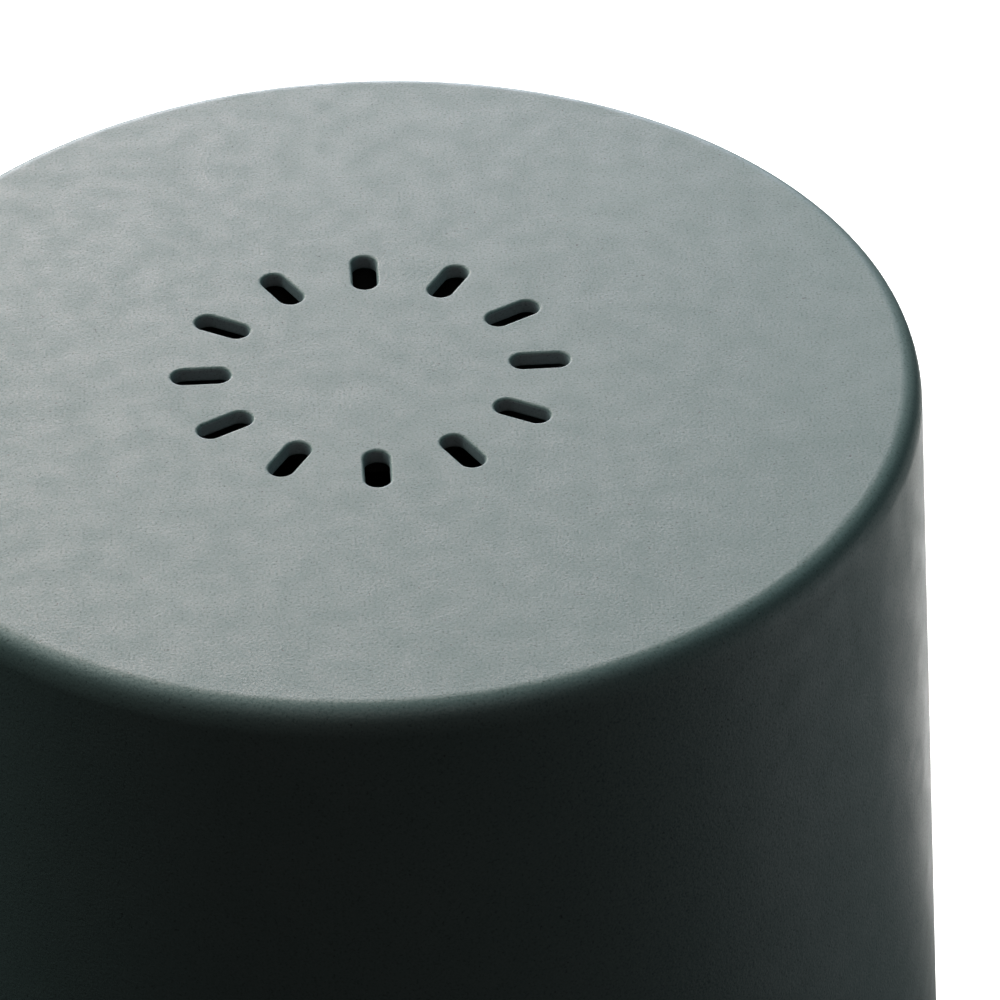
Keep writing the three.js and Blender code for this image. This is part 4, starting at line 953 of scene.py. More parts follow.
tank_foot = DRUM_RADIUS - HOUSING_WALL - TANK_GAP
seat_z = DRUM_TOP_Z + 1.2
tank = lathe("tank", closed([
    (tank_outside(tank_high.z), tank_high.z), (tank_outside(seat_z), seat_z), (tank_foot, seat_z),
    (tank_foot, FLOOR_Z + 4), *arc(tank_foot - 5, FLOOR_Z + 3, 5, 0, -80, 8),
    (WELL_RADIUS + 3, WELL_FLOOR_Z - 0.6), (WELL_RADIUS + 2, WELL_FOOT_Z),
    (WELL_RADIUS, WELL_FOOT_Z), (WELL_RADIUS, WELL_FLOOR_Z - 1.5),
    (EXPOSED_RADIUS, WELL_FLOOR_Z - 1.5), (EXPOSED_RADIUS + 1, WELL_FLOOR_Z),
    (WELL_RADIUS + 1, WELL_FLOOR_Z + 1.4), *arc(tank_foot - 10, FLOOR_Z + 8, 7.5, -80, 0, 8),
    (tank_inside(seat_z + 4), seat_z + 4), (tank_inside(WATER_LINE_Z - 1), WATER_LINE_Z - 1),
    *arc(tank_inside(WATER_LINE_Z) - WATER_LINE_HEIGHT + 0.3, WATER_LINE_Z, 0.3, 240, 120, 4),
    (tank_inside(WATER_LINE_Z + 1), WATER_LINE_Z + 1), (tank_inside(tank_high.z), tank_high.z),
]), steps=128)

FAN_X = (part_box("air_pipe")[0].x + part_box("air_pipe")[1].x) / 2 / MM
TANK_POSTS = [(25, 27), (-25, 27), (-25, -27), (25, -27)]
LUG_ANGLES = (90, 270)  # of the ears that hold the transducer's retainer
LUG_RING = WELL_RADIUS + 4.5
pipe_low, pipe_high = span("air_pipe")
PIPE_BORE, PIPE_OUTSIDE, COLLAR_RADIUS, COLLAR_TOP_Z = 5.6, 7.2, 9, 59
SCREW_HOLE, LOOSE_HOLE = 1.7, 1.8  # radii of the holes for the larger screws

posts = [rod(3.2, tank_low.z, FLOOR_Z - 1, p, sides=32) for p in TANK_POSTS]
collar = rod(COLLAR_RADIUS, FLOOR_Z - 3, COLLAR_TOP_Z, (FAN_X, 0), sides=64)
lugs = [capsule(5, 5, LUG_RING, WELL_FOOT_Z, WELL_FLOOR_Z, turn) for turn in LUG_ANGLES]
weld(tank, *posts, collar, *lugs)
post_holes = [rod(SCREW_HOLE, tank_low.z - 1, tank_low.z + 8, p, sides=24) for p in TANK_POSTS]
lug_holes = [rod(1.3, WELL_FOOT_Z - 1, WELL_FLOOR_Z - 2, (0, y), sides=24) for y in (LUG_RING, -LUG_RING)]
cut(tank, *post_holes, *lug_holes, rod(PIPE_OUTSIDE + 0.3, pipe_low.z, pipe_high.z, (FAN_X, 0), sides=64))
soften(tank, 0.3)
complete(tank, "water_tank", tank_plastic)

# %% [markdown]
# The air pipe carries the fan's air up to above the water line. The gasket lies between the tank and the
# housing's drum.

# %% Air pipe and gasket
FLANGE_LOW, FLANGE_HIGH = COLLAR_TOP_Z + 0.3, COLLAR_TOP_Z + 1.5
pipe = lathe("pipe", closed([
    (PIPE_BORE, pipe_low.z), (PIPE_OUTSIDE, pipe_low.z), (PIPE_OUTSIDE, FLANGE_LOW),
    (COLLAR_RADIUS, FLANGE_LOW), (COLLAR_RADIUS, FLANGE_HIGH), (PIPE_OUTSIDE + 0.6, FLANGE_HIGH),
    (PIPE_OUTSIDE, FLANGE_HIGH + 0.6),
    *arc(PIPE_OUTSIDE - 0.6, pipe_high.z - 0.6, 0.6, 0, 90, 4), (PIPE_BORE, pipe_high.z),
]), steps=64, centre=(FAN_X, 0))
soften(pipe, 0.2)
complete(pipe, "air_pipe", tank_plastic)

gasket_low, gasket_high = span("tank_gasket")
gasket_inside = DRUM_RADIUS - HOUSING_WALL + 0.5
gasket = lathe("gasket", closed([
    (gasket_inside, gasket_low.z), (gasket_high.x, gasket_low.z),
    (gasket_high.x, gasket_high.z), (gasket_inside, gasket_high.z),
]), steps=128)
soften(gasket, 0.15, segments=3)
complete(gasket, "tank_gasket", silicone)

# %% [markdown]
# ## Transducer
#
# A piezo disc shakes about 1.7 million times a second and throws the water up as mist. A silicone seal
# grips its edge in a groove, and a ring with two ears presses the seal up against the tank.

# %% Transducer disc, seal and retainer
disc_low, disc_high = span("transducer_disc")
piezo = lathe("piezo", [
    (0, disc_low.z), (disc_high.x, disc_low.z), (disc_high.x, disc_high.z), (0, disc_high.z),
])
tidy_faces(piezo)
soften(piezo, 0.12, segments=3)
complete(piezo, "transducer_disc", ceramic)

cup_low, cup_high = span("transducer_seal")
lip = EXPOSED_RADIUS + 0.4
groove = disc_high.x + 0.3
cup = lathe("cup", closed([
    (lip, cup_low.z), (cup_high.x, cup_low.z), (cup_high.x - 0.3, (cup_low.z + cup_high.z) / 2),
    (cup_high.x, cup_high.z), (lip, cup_high.z), (lip, disc_high.z + 0.3), (groove, disc_high.z + 0.3),
    (groove, disc_low.z - 0.3), (lip, disc_low.z - 0.3),
]))
soften(cup, 0.2)
complete(cup, "transducer_seal", silicone)

clamp_low, clamp_high = span("transducer_retainer")
clamp = lathe("clamp", closed([
    (EXPOSED_RADIUS, clamp_low.z), (WELL_RADIUS + 2, clamp_low.z),
    (WELL_RADIUS + 2, clamp_high.z), (EXPOSED_RADIUS, clamp_high.z),
]))
weld(clamp, *[capsule(6, 5, LUG_RING - 0.5, clamp_low.z, clamp_high.z, turn) for turn in LUG_ANGLES])
cut(clamp, *[rod(1.4, clamp_low.z - 1, clamp_high.z + 1, (0, y), sides=24) for y in (LUG_RING, -LUG_RING)])
soften(clamp, 0.25)
complete(clamp, "transducer_retainer", black_plastic)

# %% [markdown]
# ## Base housing
#
# The dark moulding under the cover does several jobs. Outside it is a tapered ring that carries on the
# line of the cover. Above its ledge stands an upstand that the cover slides over, and inside that a drum
# carries the tank. Bosses for the screws, lugs for the tank and the key at the back are joined on, and
# the holes for the buttons, the indicator and the socket are cut last.

# %% Housing shell
SEAM_Z, SHOULDER_Z = 20, 30
LOW_EDGE, SOFT_EDGE = 1.4, 0.6
base_z = span("base_housing")[0].z
upstand_inside = LOCATING_RADIUS - HOUSING_WALL
ledge_z = SEAM_Z - HOUSING_WALL

housing = lathe("housing", closed([
    *arc(outer_radius(base_z) - LOW_EDGE, base_z + LOW_EDGE, LOW_EDGE, -90, 2, 6),
    *arc(outer_radius(SEAM_Z) - SOFT_EDGE, SEAM_Z - SOFT_EDGE, SOFT_EDGE, 2, 90, 5),
    (LOCATING_RADIUS, SEAM_Z), (LOCATING_RADIUS, SHOULDER_Z - 1), (LOCATING_RADIUS - 1, SHOULDER_Z),
    (DRUM_RADIUS + 1, SHOULDER_Z + SOFT_EDGE), (DRUM_RADIUS, DRUM_TOP_Z),
    (DRUM_RADIUS - HOUSING_WALL, DRUM_TOP_Z), (DRUM_RADIUS + 1 - HOUSING_WALL, SHOULDER_Z),
    (upstand_inside, SHOULDER_Z - 2), (upstand_inside, ledge_z),
    (outer_radius(ledge_z) - HOUSING_WALL, ledge_z), (outer_radius(base_z) - HOUSING_WALL, base_z),
]), steps=160)

BOSSES = [on_ring(46.3, turn) for turn in (50, 130, 230, 310)]
BOSS_RADIUS, BOSS_FOOT_Z = 3.6, 6.5
LUG_TOP_Z = tank_low.z - 0.3
LUG_LOW_Z = LUG_TOP_Z - 3
LUG_LENGTH, LUG_WIDTH, LUG_REACH = 18, 8.4, 4.8
beyond_drum = lathe("beyond_drum", closed([
    (DRUM_RADIUS - SOFT_EDGE, LUG_LOW_Z - 1), (DRUM_RADIUS + 20, LUG_LOW_Z - 1),
    (DRUM_RADIUS + 20, LUG_TOP_Z + 1), (DRUM_RADIUS - SOFT_EDGE, LUG_TOP_Z + 1),
]))
drum_lugs = []
for x, y in TANK_POSTS:
    lug = capsule(LUG_LENGTH, LUG_WIDTH, math.hypot(x, y) + LUG_REACH, LUG_LOW_Z, LUG_TOP_Z,
                  turn=math.degrees(math.atan2(y, x)))
    apply_modifier(lug, "BOOLEAN", operation="DIFFERENCE", object=beyond_drum, solver="EXACT")
    drum_lugs.append(lug)
bpy.data.objects.remove(beyond_drum)
boss_rods = [rod(BOSS_RADIUS, BOSS_FOOT_Z, SEAM_Z - 1, p, sides=32) for p in BOSSES]
key = bar((-KEY_WIDTH / 2, LOCATING_RADIUS - 1, SEAM_Z - 0.5),
          (KEY_WIDTH / 2, LOCATING_RADIUS + KEY_HEIGHT, SHOULDER_Z - 1.5))
weld(housing, *boss_rods, *drum_lugs, key)

# %% Holes in the housing
BUTTON_X, BUTTON_RADIUS, LENS_RADIUS, CONTROL_Z = 9, 4, 1.55, 12
SOCKET_Z, SOCKET_COLLAR = 13, 4
CLEARANCE = 0.35
wall_inside = LOCATING_RADIUS - 3
FAR = 60  # beyond the outside
BUTTONS = (("mist", -BUTTON_X), ("timer", BUTTON_X))
holes = [rod(BUTTON_RADIUS + CLEARANCE, -FAR, -wall_inside, (x, CONTROL_Z), "Y", 64) for _, x in BUTTONS]
holes.append(rod(LENS_RADIUS + CLEARANCE, -FAR, -wall_inside, (0, CONTROL_Z), "Y", 48))
holes.append(rod(SOCKET_COLLAR + 0.4, wall_inside, FAR, (0, SOCKET_Z), "Y", 64))
holes += [rod(SCREW_HOLE, BOSS_FOOT_Z - 1, SEAM_Z - 4, p, sides=24) for p in BOSSES]
holes += [rod(LOOSE_HOLE, LUG_LOW_Z - 1, LUG_TOP_Z + 1, p, sides=24) for p in TANK_POSTS]
cut(housing, *holes)
soften(housing, 0.22, segments=3)
complete(housing, "base_housing", base_plastic)

# %% [markdown]
# ## Bottom cover
#
# A dished plate closes the base. It has a round grille that lets air in to the fan, recesses for the
# feet, counterbores for the four screws, and posts inside for the fan and the board.

# %% Bottom cover
plate_low, plate_high = span("bottom_cover")
PLATE_THICKNESS, RIM_WALL = 2.2, 1.4
plate_z, plate_top = plate_low.z, plate_low.z + PLATE_THICKNESS
plate_radius = plate_high.x
FAN_HOLES = [(FAN_X - 14.4, 14.4), (FAN_X + 14.4, -14.4)]
BOARD_HOLES = [(34, 13), (34, -13)]
FEET = [on_ring(43, turn) for turn in (30, 150, 210, 330)]
FAN_Z, BOARD_Z, FOOT_RADIUS = 6.5, 7, 5.2
GRILLE_RADIUS, GRILLE_PITCH, GRILLE_SLOT, GRILLE_HALF_COUNT = 14, 3.8, 2, 3

plate = lathe("plate", [
    (0, plate_z), (plate_radius - 0.5, plate_z), (plate_radius, plate_z + 0.5),
    (plate_radius, plate_top + 1.2), (plate_radius - RIM_WALL, plate_top + 1.2),
    (plate_radius - RIM_WALL, plate_top), (0, plate_top),
], steps=128)
tidy_faces(plate)
plate_posts = [rod(4.6, plate_top - 0.5, BOSS_FOOT_Z - 0.3, p, sides=32) for p in BOSSES]
plate_posts += [rod(2.7, plate_top - 0.5, FAN_Z - 0.3, p, sides=32) for p in FAN_HOLES]
plate_posts += [rod(3, plate_top - 0.5, BOARD_Z - 0.3, p, sides=32) for p in BOARD_HOLES]
weld(plate, *plate_posts)
plate_holes = [rod(3.3, plate_z - 1, plate_z + 2.1, p, sides=32) for p in BOSSES]
plate_holes += [rod(LOOSE_HOLE, plate_z, BOSS_FOOT_Z + 1, p, sides=24) for p in BOSSES]
plate_holes += [rod(SCREW_HOLE, plate_z + 1.2, BOARD_Z + 1, p, sides=24) for p in FAN_HOLES + BOARD_HOLES]
plate_holes += [rod(FOOT_RADIUS + 0.4, plate_z - 1, plate_z + 1, p, sides=48) for p in FEET]
for row in range(-GRILLE_HALF_COUNT, GRILLE_HALF_COUNT + 1):
    y = row * GRILLE_PITCH
    half = math.sqrt(GRILLE_RADIUS**2 - y**2)
    plate_holes.append(bar((FAN_X - half, y - GRILLE_SLOT / 2, plate_z - 1),
                           (FAN_X + half, y + GRILLE_SLOT / 2, plate_top + 1)))
cut(plate, *plate_holes)
soften(plate, 0.2)
complete(plate, "bottom_cover", black_plastic)

# %% [markdown]
# Four rubber feet sit in the recesses. One is turned, with a rounded edge and a shallow dimple that
# grips like a sucker, and the others are copies, each with its own mesh.

# %% Feet
def copy_to(piece, move):
    """A copy with its own mesh, moved by x, y, z in millimetres."""
    pick(piece)
    bpy.ops.object.duplicate()
    made = bpy.context.object
    made.location = Vector(move) * MM
    return settle(made)


foot_top = span("foot_1")[1].z
foot = lathe("foot", [
    (0, 0.35), (FOOT_RADIUS * 0.55, 0.3), (FOOT_RADIUS * 0.7, 0),
    *arc(FOOT_RADIUS - 0.6, 0.6, 0.6, -90, 0, 5), (FOOT_RADIUS, foot_top - 0.2),
    (FOOT_RADIUS - 0.2, foot_top), (0, foot_top),
], steps=64)
soften(foot, 0)
for number, (x, y) in enumerate(FEET, 1):
    complete(copy_to(foot, (x, y, 0)), f"foot_{number}", rubber)
bpy.data.objects.remove(foot)

# %% [markdown]
# ## Screws
#
# All the screws are pan heads with a cross recess and a coarse thread, which is shown as rings. One of
# each size is modelled pointing up from its head's seat, then copied, turned over where it points down,
# and moved to its place.

# %% Screws
HEAD_HEIGHT = 1.5


def screw(name, reach, head_radius=2.7, shank_radius=1.4):
    """A screw that points up. The seat of its head is at zero."""
    head, tip, pitch, core = HEAD_HEIGHT, 1.0, 1.1, shank_radius * 0.8
    turns = int((reach - tip - 0.8) / pitch)
    thread = []
    for turn in range(turns):
        low = 0.6 + turn * pitch
        thread += [(core, low), (shank_radius, low + pitch * 0.35), (core, low + pitch * 0.7)]
    made = lathe(name, [
        (0, -head), *arc(head_radius * 0.62, -head * 0.35, head_radius * 0.38, -90, 0, 5)[1:],
        (head_radius, 0), (core, 0), *thread, (core, reach - tip), (0, reach),
    ], steps=24)
    arm, half, depth = head_radius * 0.45, 0.35, 0.5
    cut(made, bar((-arm, -half, -head - 1), (arm, half, depth - head)),
        bar((-half, -arm, -head - 1), (half, arm, depth - head)))
    return soften(made, 0.06, segments=1)


def fasten(model, node):
    """Puts a copy of a screw where a node of the measured model is, up or down as that one is."""
    low, high = span(node)
    centre = (low + high) / 2
    points_down = node.startswith(("fan", "board"))
    reach = model.dimensions.z / MM - HEAD_HEIGHT
    made = copy_to(model, (0, 0, 0))
    if points_down:
        made.rotation_euler.x = math.pi
        settle(made)
        made.location = Vector((centre.x, centre.y, low.z + reach)) * MM
    else:
        made.location = Vector((centre.x, centre.y, high.z - reach)) * MM
    settle(made)
    complete(made, node, steel)


large = {"bottom_screw": (4, 11.5), "tank_screw": (4, 9), "fan_screw": (2, 14), "board_screw": (2, 4.4)}
for kind, (count, reach) in large.items():
    model = screw(kind, reach)
    for number in range(1, count + 1):
        fasten(model, f"{kind}_{number}")
    bpy.data.objects.remove(model)
small = screw("retainer_screw", 5, head_radius=2, shank_radius=1)
for number in (1, 2):
    fasten(small, f"retainer_screw_{number}")
bpy.data.objects.remove(small)

# %% [markdown]
# ## Fan
#
# A small flat fan lies under the duct. Its frame is a square moulding with round corners and a round
# bore, and three spokes carry the seat of the bearing. Stator, bearing, rotor and shaft all share the
# fan's upright axis.

# %% Fan frame
FAN_HALF, FAN_CORNER, FAN_TOP_Z = 17.5, 3, 16.5
FAN_BORE, SEAT_RADIUS, SPOKE_WIDTH, SPOKE_HEIGHT = 16.3, 6.6, 2.2, 1.3
fan_axis = (FAN_X, 0)


def rounded_plate(low, high):
    """A square plate as wide as the fan, with its four upright edges rounded."""
    plate = bar((FAN_X - FAN_HALF, -FAN_HALF, low), (FAN_X + FAN_HALF, FAN_HALF, high))
    pick(plate)
    bpy.ops.object.mode_set(mode="EDIT")
    select_where(plate, "edges", lambda e: abs(e.verts[0].co.z - e.verts[1].co.z) > 0.1 * MM)
    bpy.ops.mesh.bevel(offset=FAN_CORNER * MM, segments=6)
    bpy.ops.object.mode_set(mode="OBJECT")
    return plate


fan_case = rounded_plate(FAN_Z, FAN_TOP_Z)
cut(fan_case, rod(FAN_BORE, FAN_Z - 1, FAN_TOP_Z + 1, fan_axis, sides=96))
spokes = []
for turn in (90, 210, 330):
    spoke = bar((5, -SPOKE_WIDTH / 2, FAN_Z), (FAN_BORE + 0.6, SPOKE_WIDTH / 2, FAN_Z + SPOKE_HEIGHT), turn)
    spoke.location.x = FAN_X * MM
    spokes.append(settle(spoke))
weld(fan_case, rod(SEAT_RADIUS, FAN_Z, FAN_Z + SPOKE_HEIGHT, fan_axis), *spokes)
cut(fan_case, rod(1.9, FAN_Z + 0.5, FAN_Z + 2, fan_axis, sides=32),
    *[rod(SCREW_HOLE, FAN_Z - 1, FAN_TOP_Z + 1, p, sides=24) for p in FAN_HOLES])
soften(fan_case, 0.2)
complete(fan_case, "fan_frame", black_plastic)

# %% [markdown]
# The bearing is a plain sleeve of brass. The stator has four poles with a coil of copper wire on each:
# its turns are small ridges, so the coil is turned like a thread and then set on its pole.

# %% Bearing and stator
sleeve_low, sleeve_high = span("fan_bearing")
bearing = lathe("bearing", closed([
    (1.3, sleeve_low.z + 0.2), (1.5, sleeve_low.z), (2, sleeve_low.z), (2.2, sleeve_low.z + 0.2),
    (2.2, sleeve_high.z - 0.2), (2, sleeve_high.z), (1.5, sleeve_high.z), (1.3, sleeve_high.z - 0.2),
]), steps=48, centre=fan_axis)
complete(soften(bearing, 0), "fan_bearing", brass)

stator_low, stator_high = span("fan_stator")
stator = lathe("stator", closed([
    (2.5, stator_low.z), (3.6, stator_low.z), (3.6, stator_high.z), (2.5, stator_high.z),
]), steps=48, centre=fan_axis)
COIL_Z, WIRE, POLE_ROOT, POLE_TIP = 10.8, 0.32, 2.9, 6.3
COIL_RADIUS, COIL_FOOT, COIL_TURNS = 1.35, 3.5, 6
turns = []
for ring in range(COIL_TURNS):
    start = COIL_FOOT + ring * (POLE_TIP - COIL_FOOT) / COIL_TURNS
    crest = COIL_RADIUS + WIRE / 2
    turns += [(COIL_RADIUS, start), (crest, start + 0.1), (crest, start + 0.3), (COIL_RADIUS, start + 0.44)]
for turn in (45, 135, 225, 315):
    coil = lathe("coil", [
        (0, POLE_ROOT), (COIL_RADIUS, POLE_ROOT), *turns, (COIL_RADIUS, POLE_TIP), (0, POLE_TIP),
    ], steps=24, axis="Y")
    coil.location.z = COIL_Z * MM
    coil.rotation_euler.z = math.radians(turn - 90)
    settle(coil)
    coil.location.x = FAN_X * MM
    weld(stator, settle(coil))
soften(stator, 0.05, segments=1)
complete(stator, "fan_stator", winding)

# %% [markdown]
# The impeller is an upturned cup with seven thin blades. A blade starts as a bar along the spoke, is
# pitched about that spoke, and is trimmed to the ring that it sweeps. It lies a little flatter towards
# its outer end, because the tip moves faster than the root.

# %% Impeller and shaft
HUB_RADIUS, HUB_WALL, ROTOR_Z, ROTOR_TOP_Z = 8.2, 1, 8.7, 15.9
BLADES, BLADE_HALF, BLADE_RISE, PITCH, TWIST, REACH = 7, 0.45, 4.2, 48, 7, 15.4
hub_edge = 0.8
impeller = lathe("impeller", [
    (0, ROTOR_TOP_Z - 0.15), (2.4, ROTOR_TOP_Z - 0.15), (2.6, ROTOR_TOP_Z),
    *arc(HUB_RADIUS - hub_edge, ROTOR_TOP_Z - hub_edge, hub_edge, 90, 0, 6),
    (HUB_RADIUS, ROTOR_Z), (HUB_RADIUS - HUB_WALL, ROTOR_Z),
    (HUB_RADIUS - HUB_WALL, ROTOR_TOP_Z - 1.2), (0, ROTOR_TOP_Z - 1.2),
], steps=96, centre=fan_axis)
blades = []
for number in range(BLADES):
    blade = bar((HUB_RADIUS - 0.6, -BLADE_HALF, -BLADE_RISE), (REACH + 2, BLADE_HALF, BLADE_RISE))
    edit_all(blade)
    bpy.ops.mesh.subdivide(number_cuts=5)
    bpy.ops.object.mode_set(mode="OBJECT")
    for vertex in blade.data.vertices:
        share = (vertex.co.x / MM - HUB_RADIUS) / (REACH - HUB_RADIUS)
        angle = -math.radians(PITCH + TWIST * share)
        y, z = vertex.co.yz
        vertex.co.y = y * math.cos(angle) - z * math.sin(angle)
        vertex.co.z = y * math.sin(angle) + z * math.cos(angle)
    blade.rotation_euler.z = number * 2 * math.pi / BLADES
    settle(blade)
    blade.location = Vector((FAN_X, 0, (ROTOR_Z + ROTOR_TOP_Z) / 2)) * MM
    settle(blade)
    root = HUB_RADIUS - 0.5
    sweep = lathe("sweep", closed([
        (root, ROTOR_Z), (REACH, ROTOR_Z), (REACH, ROTOR_TOP_Z), (root, ROTOR_TOP_Z),
    ]), steps=96, centre=fan_axis)
    blades.append(keep_inside(blade, sweep))
weld(impeller, *blades)
cut(impeller, rod(1.2, ROTOR_TOP_Z - 2, ROTOR_TOP_Z - 0.5, fan_axis, sides=24))
soften(impeller, 0.1)
complete(impeller, "fan_impeller", black_plastic)

shaft_low, shaft_high = span("fan_shaft")
shaft = lathe("shaft", [
    (0, shaft_low.z), (0.7, shaft_low.z), (0.9, shaft_low.z + 0.2),
    (0.9, shaft_high.z - 0.2), (0.7, shaft_high.z), (0, shaft_high.z),
], steps=32, centre=fan_axis)
complete(soften(shaft, 0), "fan_shaft", steel)

# %% [markdown]
# The duct gathers the air of the fan into the pipe through the tank. It is a thin funnel on a square
# flange, and the heads of the fan's screws sit in round recesses that cut into the funnel.

# %% Fan duct
duct_low, duct_high = span("fan_duct")
DUCT_FLANGE, DUCT_WALL, DUCT_MOUTH, DUCT_NECK, DUCT_NECK_Z = 1.8, 1.4, 15.9, 7.5, 38
duct = lathe("duct", [
    (0, duct_low.z), (DUCT_MOUTH + DUCT_WALL, duct_low.z), (DUCT_NECK + DUCT_WALL, DUCT_NECK_Z),
    (DUCT_NECK + DUCT_WALL, duct_high.z), (0, duct_high.z),
], steps=96, centre=fan_axis)
weld(duct, rounded_plate(duct_low.z, duct_low.z + DUCT_FLANGE))
airway = lathe("airway", [
    (0, duct_low.z - 1), (DUCT_MOUTH, duct_low.z - 1), (DUCT_MOUTH, duct_low.z + 0.2),
    (DUCT_NECK, DUCT_NECK_Z), (DUCT_NECK, duct_high.z + 1), (0, duct_high.z + 1),
], steps=96, centre=fan_axis)
screw_room = [rod(SCREW_HOLE, duct_low.z - 1, duct_low.z + 3, p, sides=24) for p in FAN_HOLES]
screw_room += [rod(3.1, duct_low.z + DUCT_FLANGE, duct_low.z + 8, p, sides=32) for p in FAN_HOLES]
cut(duct, airway, *screw_room)
soften(duct, 0.2)
complete(duct, "fan_duct", white_plastic)

# %% [markdown]
# ## Electronics
#
# The main board lies to the right of the fan. A board is cut from flat sheet, so its sheet is a disc that
# is cut straight on two sides and drilled. The solder mask is green and the copper under it shows as a
# slightly paler pattern, which the finish already carries.

# %% Boards
BOARD_TOP_Z = 8.6
SEAT_Z = BOARD_TOP_Z + 0.3  # components stand a hair above the board
BOARD_RADIUS, BOARD_LEFT, BOARD_FRONT = 41.3, -6.2, -40.4
board_low, board_high = span("main_board")
board = rod(BOARD_RADIUS, board_low.z, board_high.z, sides=128)
cut(board, bar((-FAR, -FAR, 0), (BOARD_LEFT, FAR, SEAM_Z)), bar((-FAR, -FAR, 0), (FAR, BOARD_FRONT, SEAM_Z)),
    *[rod(SCREW_HOLE, BOARD_Z - 1, BOARD_TOP_Z + 1, p, sides=24) for p in BOARD_HOLES])
soften(board, 0.12)
complete(board, "main_board", circuit_lacquer)

LEG_HALF = 2.2  # half the distance between a switch's legs


def switch_legs(x):
    """Where the four legs of a switch are, as x, z."""
    return [(x + side, CONTROL_Z + up) for side in (-LEG_HALF, LEG_HALF) for up in (-LEG_HALF, LEG_HALF)]


panel_low, panel_high = span("control_board")
panel = bar(panel_low, panel_high)
solder_points = [p for _, x in BUTTONS for p in switch_legs(x)]
cut(panel, *[rod(0.4, panel_low.y - 1, panel_high.y + 1, p, "Y", 12) for p in solder_points])
soften(panel, 0.12)
complete(panel, "control_board", circuit_lacquer)

# %% [markdown]
# The heat sink is an extrusion: a plate with five upright fins behind it. The power transistor is
# clamped flat against its plate and stands on three legs.

# %% Heat sink and transistor
sink_low, sink_high = span("heat_sink")
SINK_X, SINK_PLATE, FIN_HALF, FIN_PITCH = 18, 2.2, 0.6, 4.2
sink = bar(sink_low, (SINK_X + SINK_PLATE, sink_high.y, sink_high.z))
weld(sink, *[
    bar((SINK_X + SINK_PLATE - 0.3, row * FIN_PITCH - FIN_HALF, sink_low.z),
        (sink_high.x, row * FIN_PITCH + FIN_HALF, sink_high.z))
    for row in range(-2, 3)
])
soften(sink, 0.2)
complete(sink, "heat_sink", aluminium)

chip_high = span("power_transistor")[1]
chip_back = chip_high.x
CHIP_HALF, LEG_PITCH = 5, 2.54
chip = bar((chip_back - 4.4, -CHIP_HALF, 13.6), (chip_back, CHIP_HALF, 22.6))
legs = [bar((chip_back - 2.6, y - 0.4, SEAT_Z), (chip_back - 2, y + 0.4, 14))
        for y in (-LEG_PITCH, 0, LEG_PITCH)]
weld(chip, bar((chip_back - 1.3, -CHIP_HALF, 22.4), (chip_back, CHIP_HALF, chip_high.z)), *legs)
screw_hole = rod(LOOSE_HOLE, -2, 2, (0, 25.6), "Y", 32)
screw_hole.rotation_euler.z = math.pi / 2
settle(screw_hole)
screw_hole.location.x = chip_back * MM
cut(chip, settle(screw_hole))
soften(chip, 0.14)
complete(chip, "power_transistor", black_plastic)

# %% [markdown]
# The inductor is a drum core with copper wire wound in its waist. The capacitors are cans with a rolled
# groove near the foot and a scored top that can burst open safely.

# %% Inductor and capacitors
coil_low, coil_high = span("inductor")
coil_centre = ((coil_low + coil_high) / 2).xy
waist = [(4.7, coil_low.z + 1.6)]
WIRE_TURNS, WIRE_PITCH = 9, 0.7
SCORE_HALF, SCORE_DEPTH = 0.15, 0.45
for ring in range(WIRE_TURNS):
    foot = coil_low.z + 1.8 + ring * WIRE_PITCH
    waist += [(4.55, foot), (4.8, foot + 0.2), (4.8, foot + 0.45), (4.55, foot + 0.65)]
coil = lathe("drum_core", [
    (0, coil_low.z), (5.4, coil_low.z), (5.6, coil_low.z + 0.2), (5.6, coil_low.z + 1.2), *waist,
    (4.7, coil_high.z - 1.6), (5.6, coil_high.z - 1.2), (5.6, coil_high.z - 0.2), (5.4, coil_high.z),
    (1.8, coil_high.z), (1.6, coil_high.z - 0.4), (0, coil_high.z - 0.4),
], steps=64, centre=coil_centre)
complete(soften(coil, 0), "inductor", winding)

for number in (1, 2):
    low, high = span(f"capacitor_{number}")
    radius, centre = (high.x - low.x) / 2, ((low + high) / 2).xy
    groove = low.z + 1.8
    can = lathe("can", [
        (0, low.z), (radius - 0.3, low.z), (radius, low.z + 0.4),
        *arc(radius + 0.15, groove, 0.5, 230, 130, 6),
        *arc(radius - 0.5, high.z - 0.5, 0.5, 0, 90, 5), (radius - 0.8, high.z),
        (radius - 1, high.z - 0.25), (0, high.z - 0.25),
    ], steps=64, centre=centre)
    score = radius - 1.3
    for half_x, half_y in ((score, SCORE_HALF), (SCORE_HALF, score)):
        cut(can, bar((centre.x - half_x, centre.y - half_y, high.z - SCORE_DEPTH),
                     (centre.x + half_x, centre.y + half_y, high.z + 1)))
    complete(soften(can, 0), f"capacitor_{number}", sleeve)

# %% [markdown]
# ## Power socket
#
# A barrel socket: a block that is soldered to the board, a round collar that comes out through the wall
# of the base, and a metal pin in the middle of the bore. Only this inlet is made, not the adapter's cord.

# %% Power socket
inlet_low, inlet_high = span("power_socket")
BORE_RADIUS, BORE_FLOOR, BLOCK_FRONT = 2.9, 43, 50.4
inlet = bar(inlet_low, (inlet_high.x, BLOCK_FRONT, inlet_high.z))
weld(inlet, rod(SOCKET_COLLAR, BLOCK_FRONT - 0.4, inlet_high.y, (0, SOCKET_Z), "Y", 64))
cut(inlet, rod(BORE_RADIUS, BORE_FLOOR, FAR, (0, SOCKET_Z), "Y", 64))
soften(inlet, 0.25, segments=3)
complete(inlet, "power_socket", black_plastic)

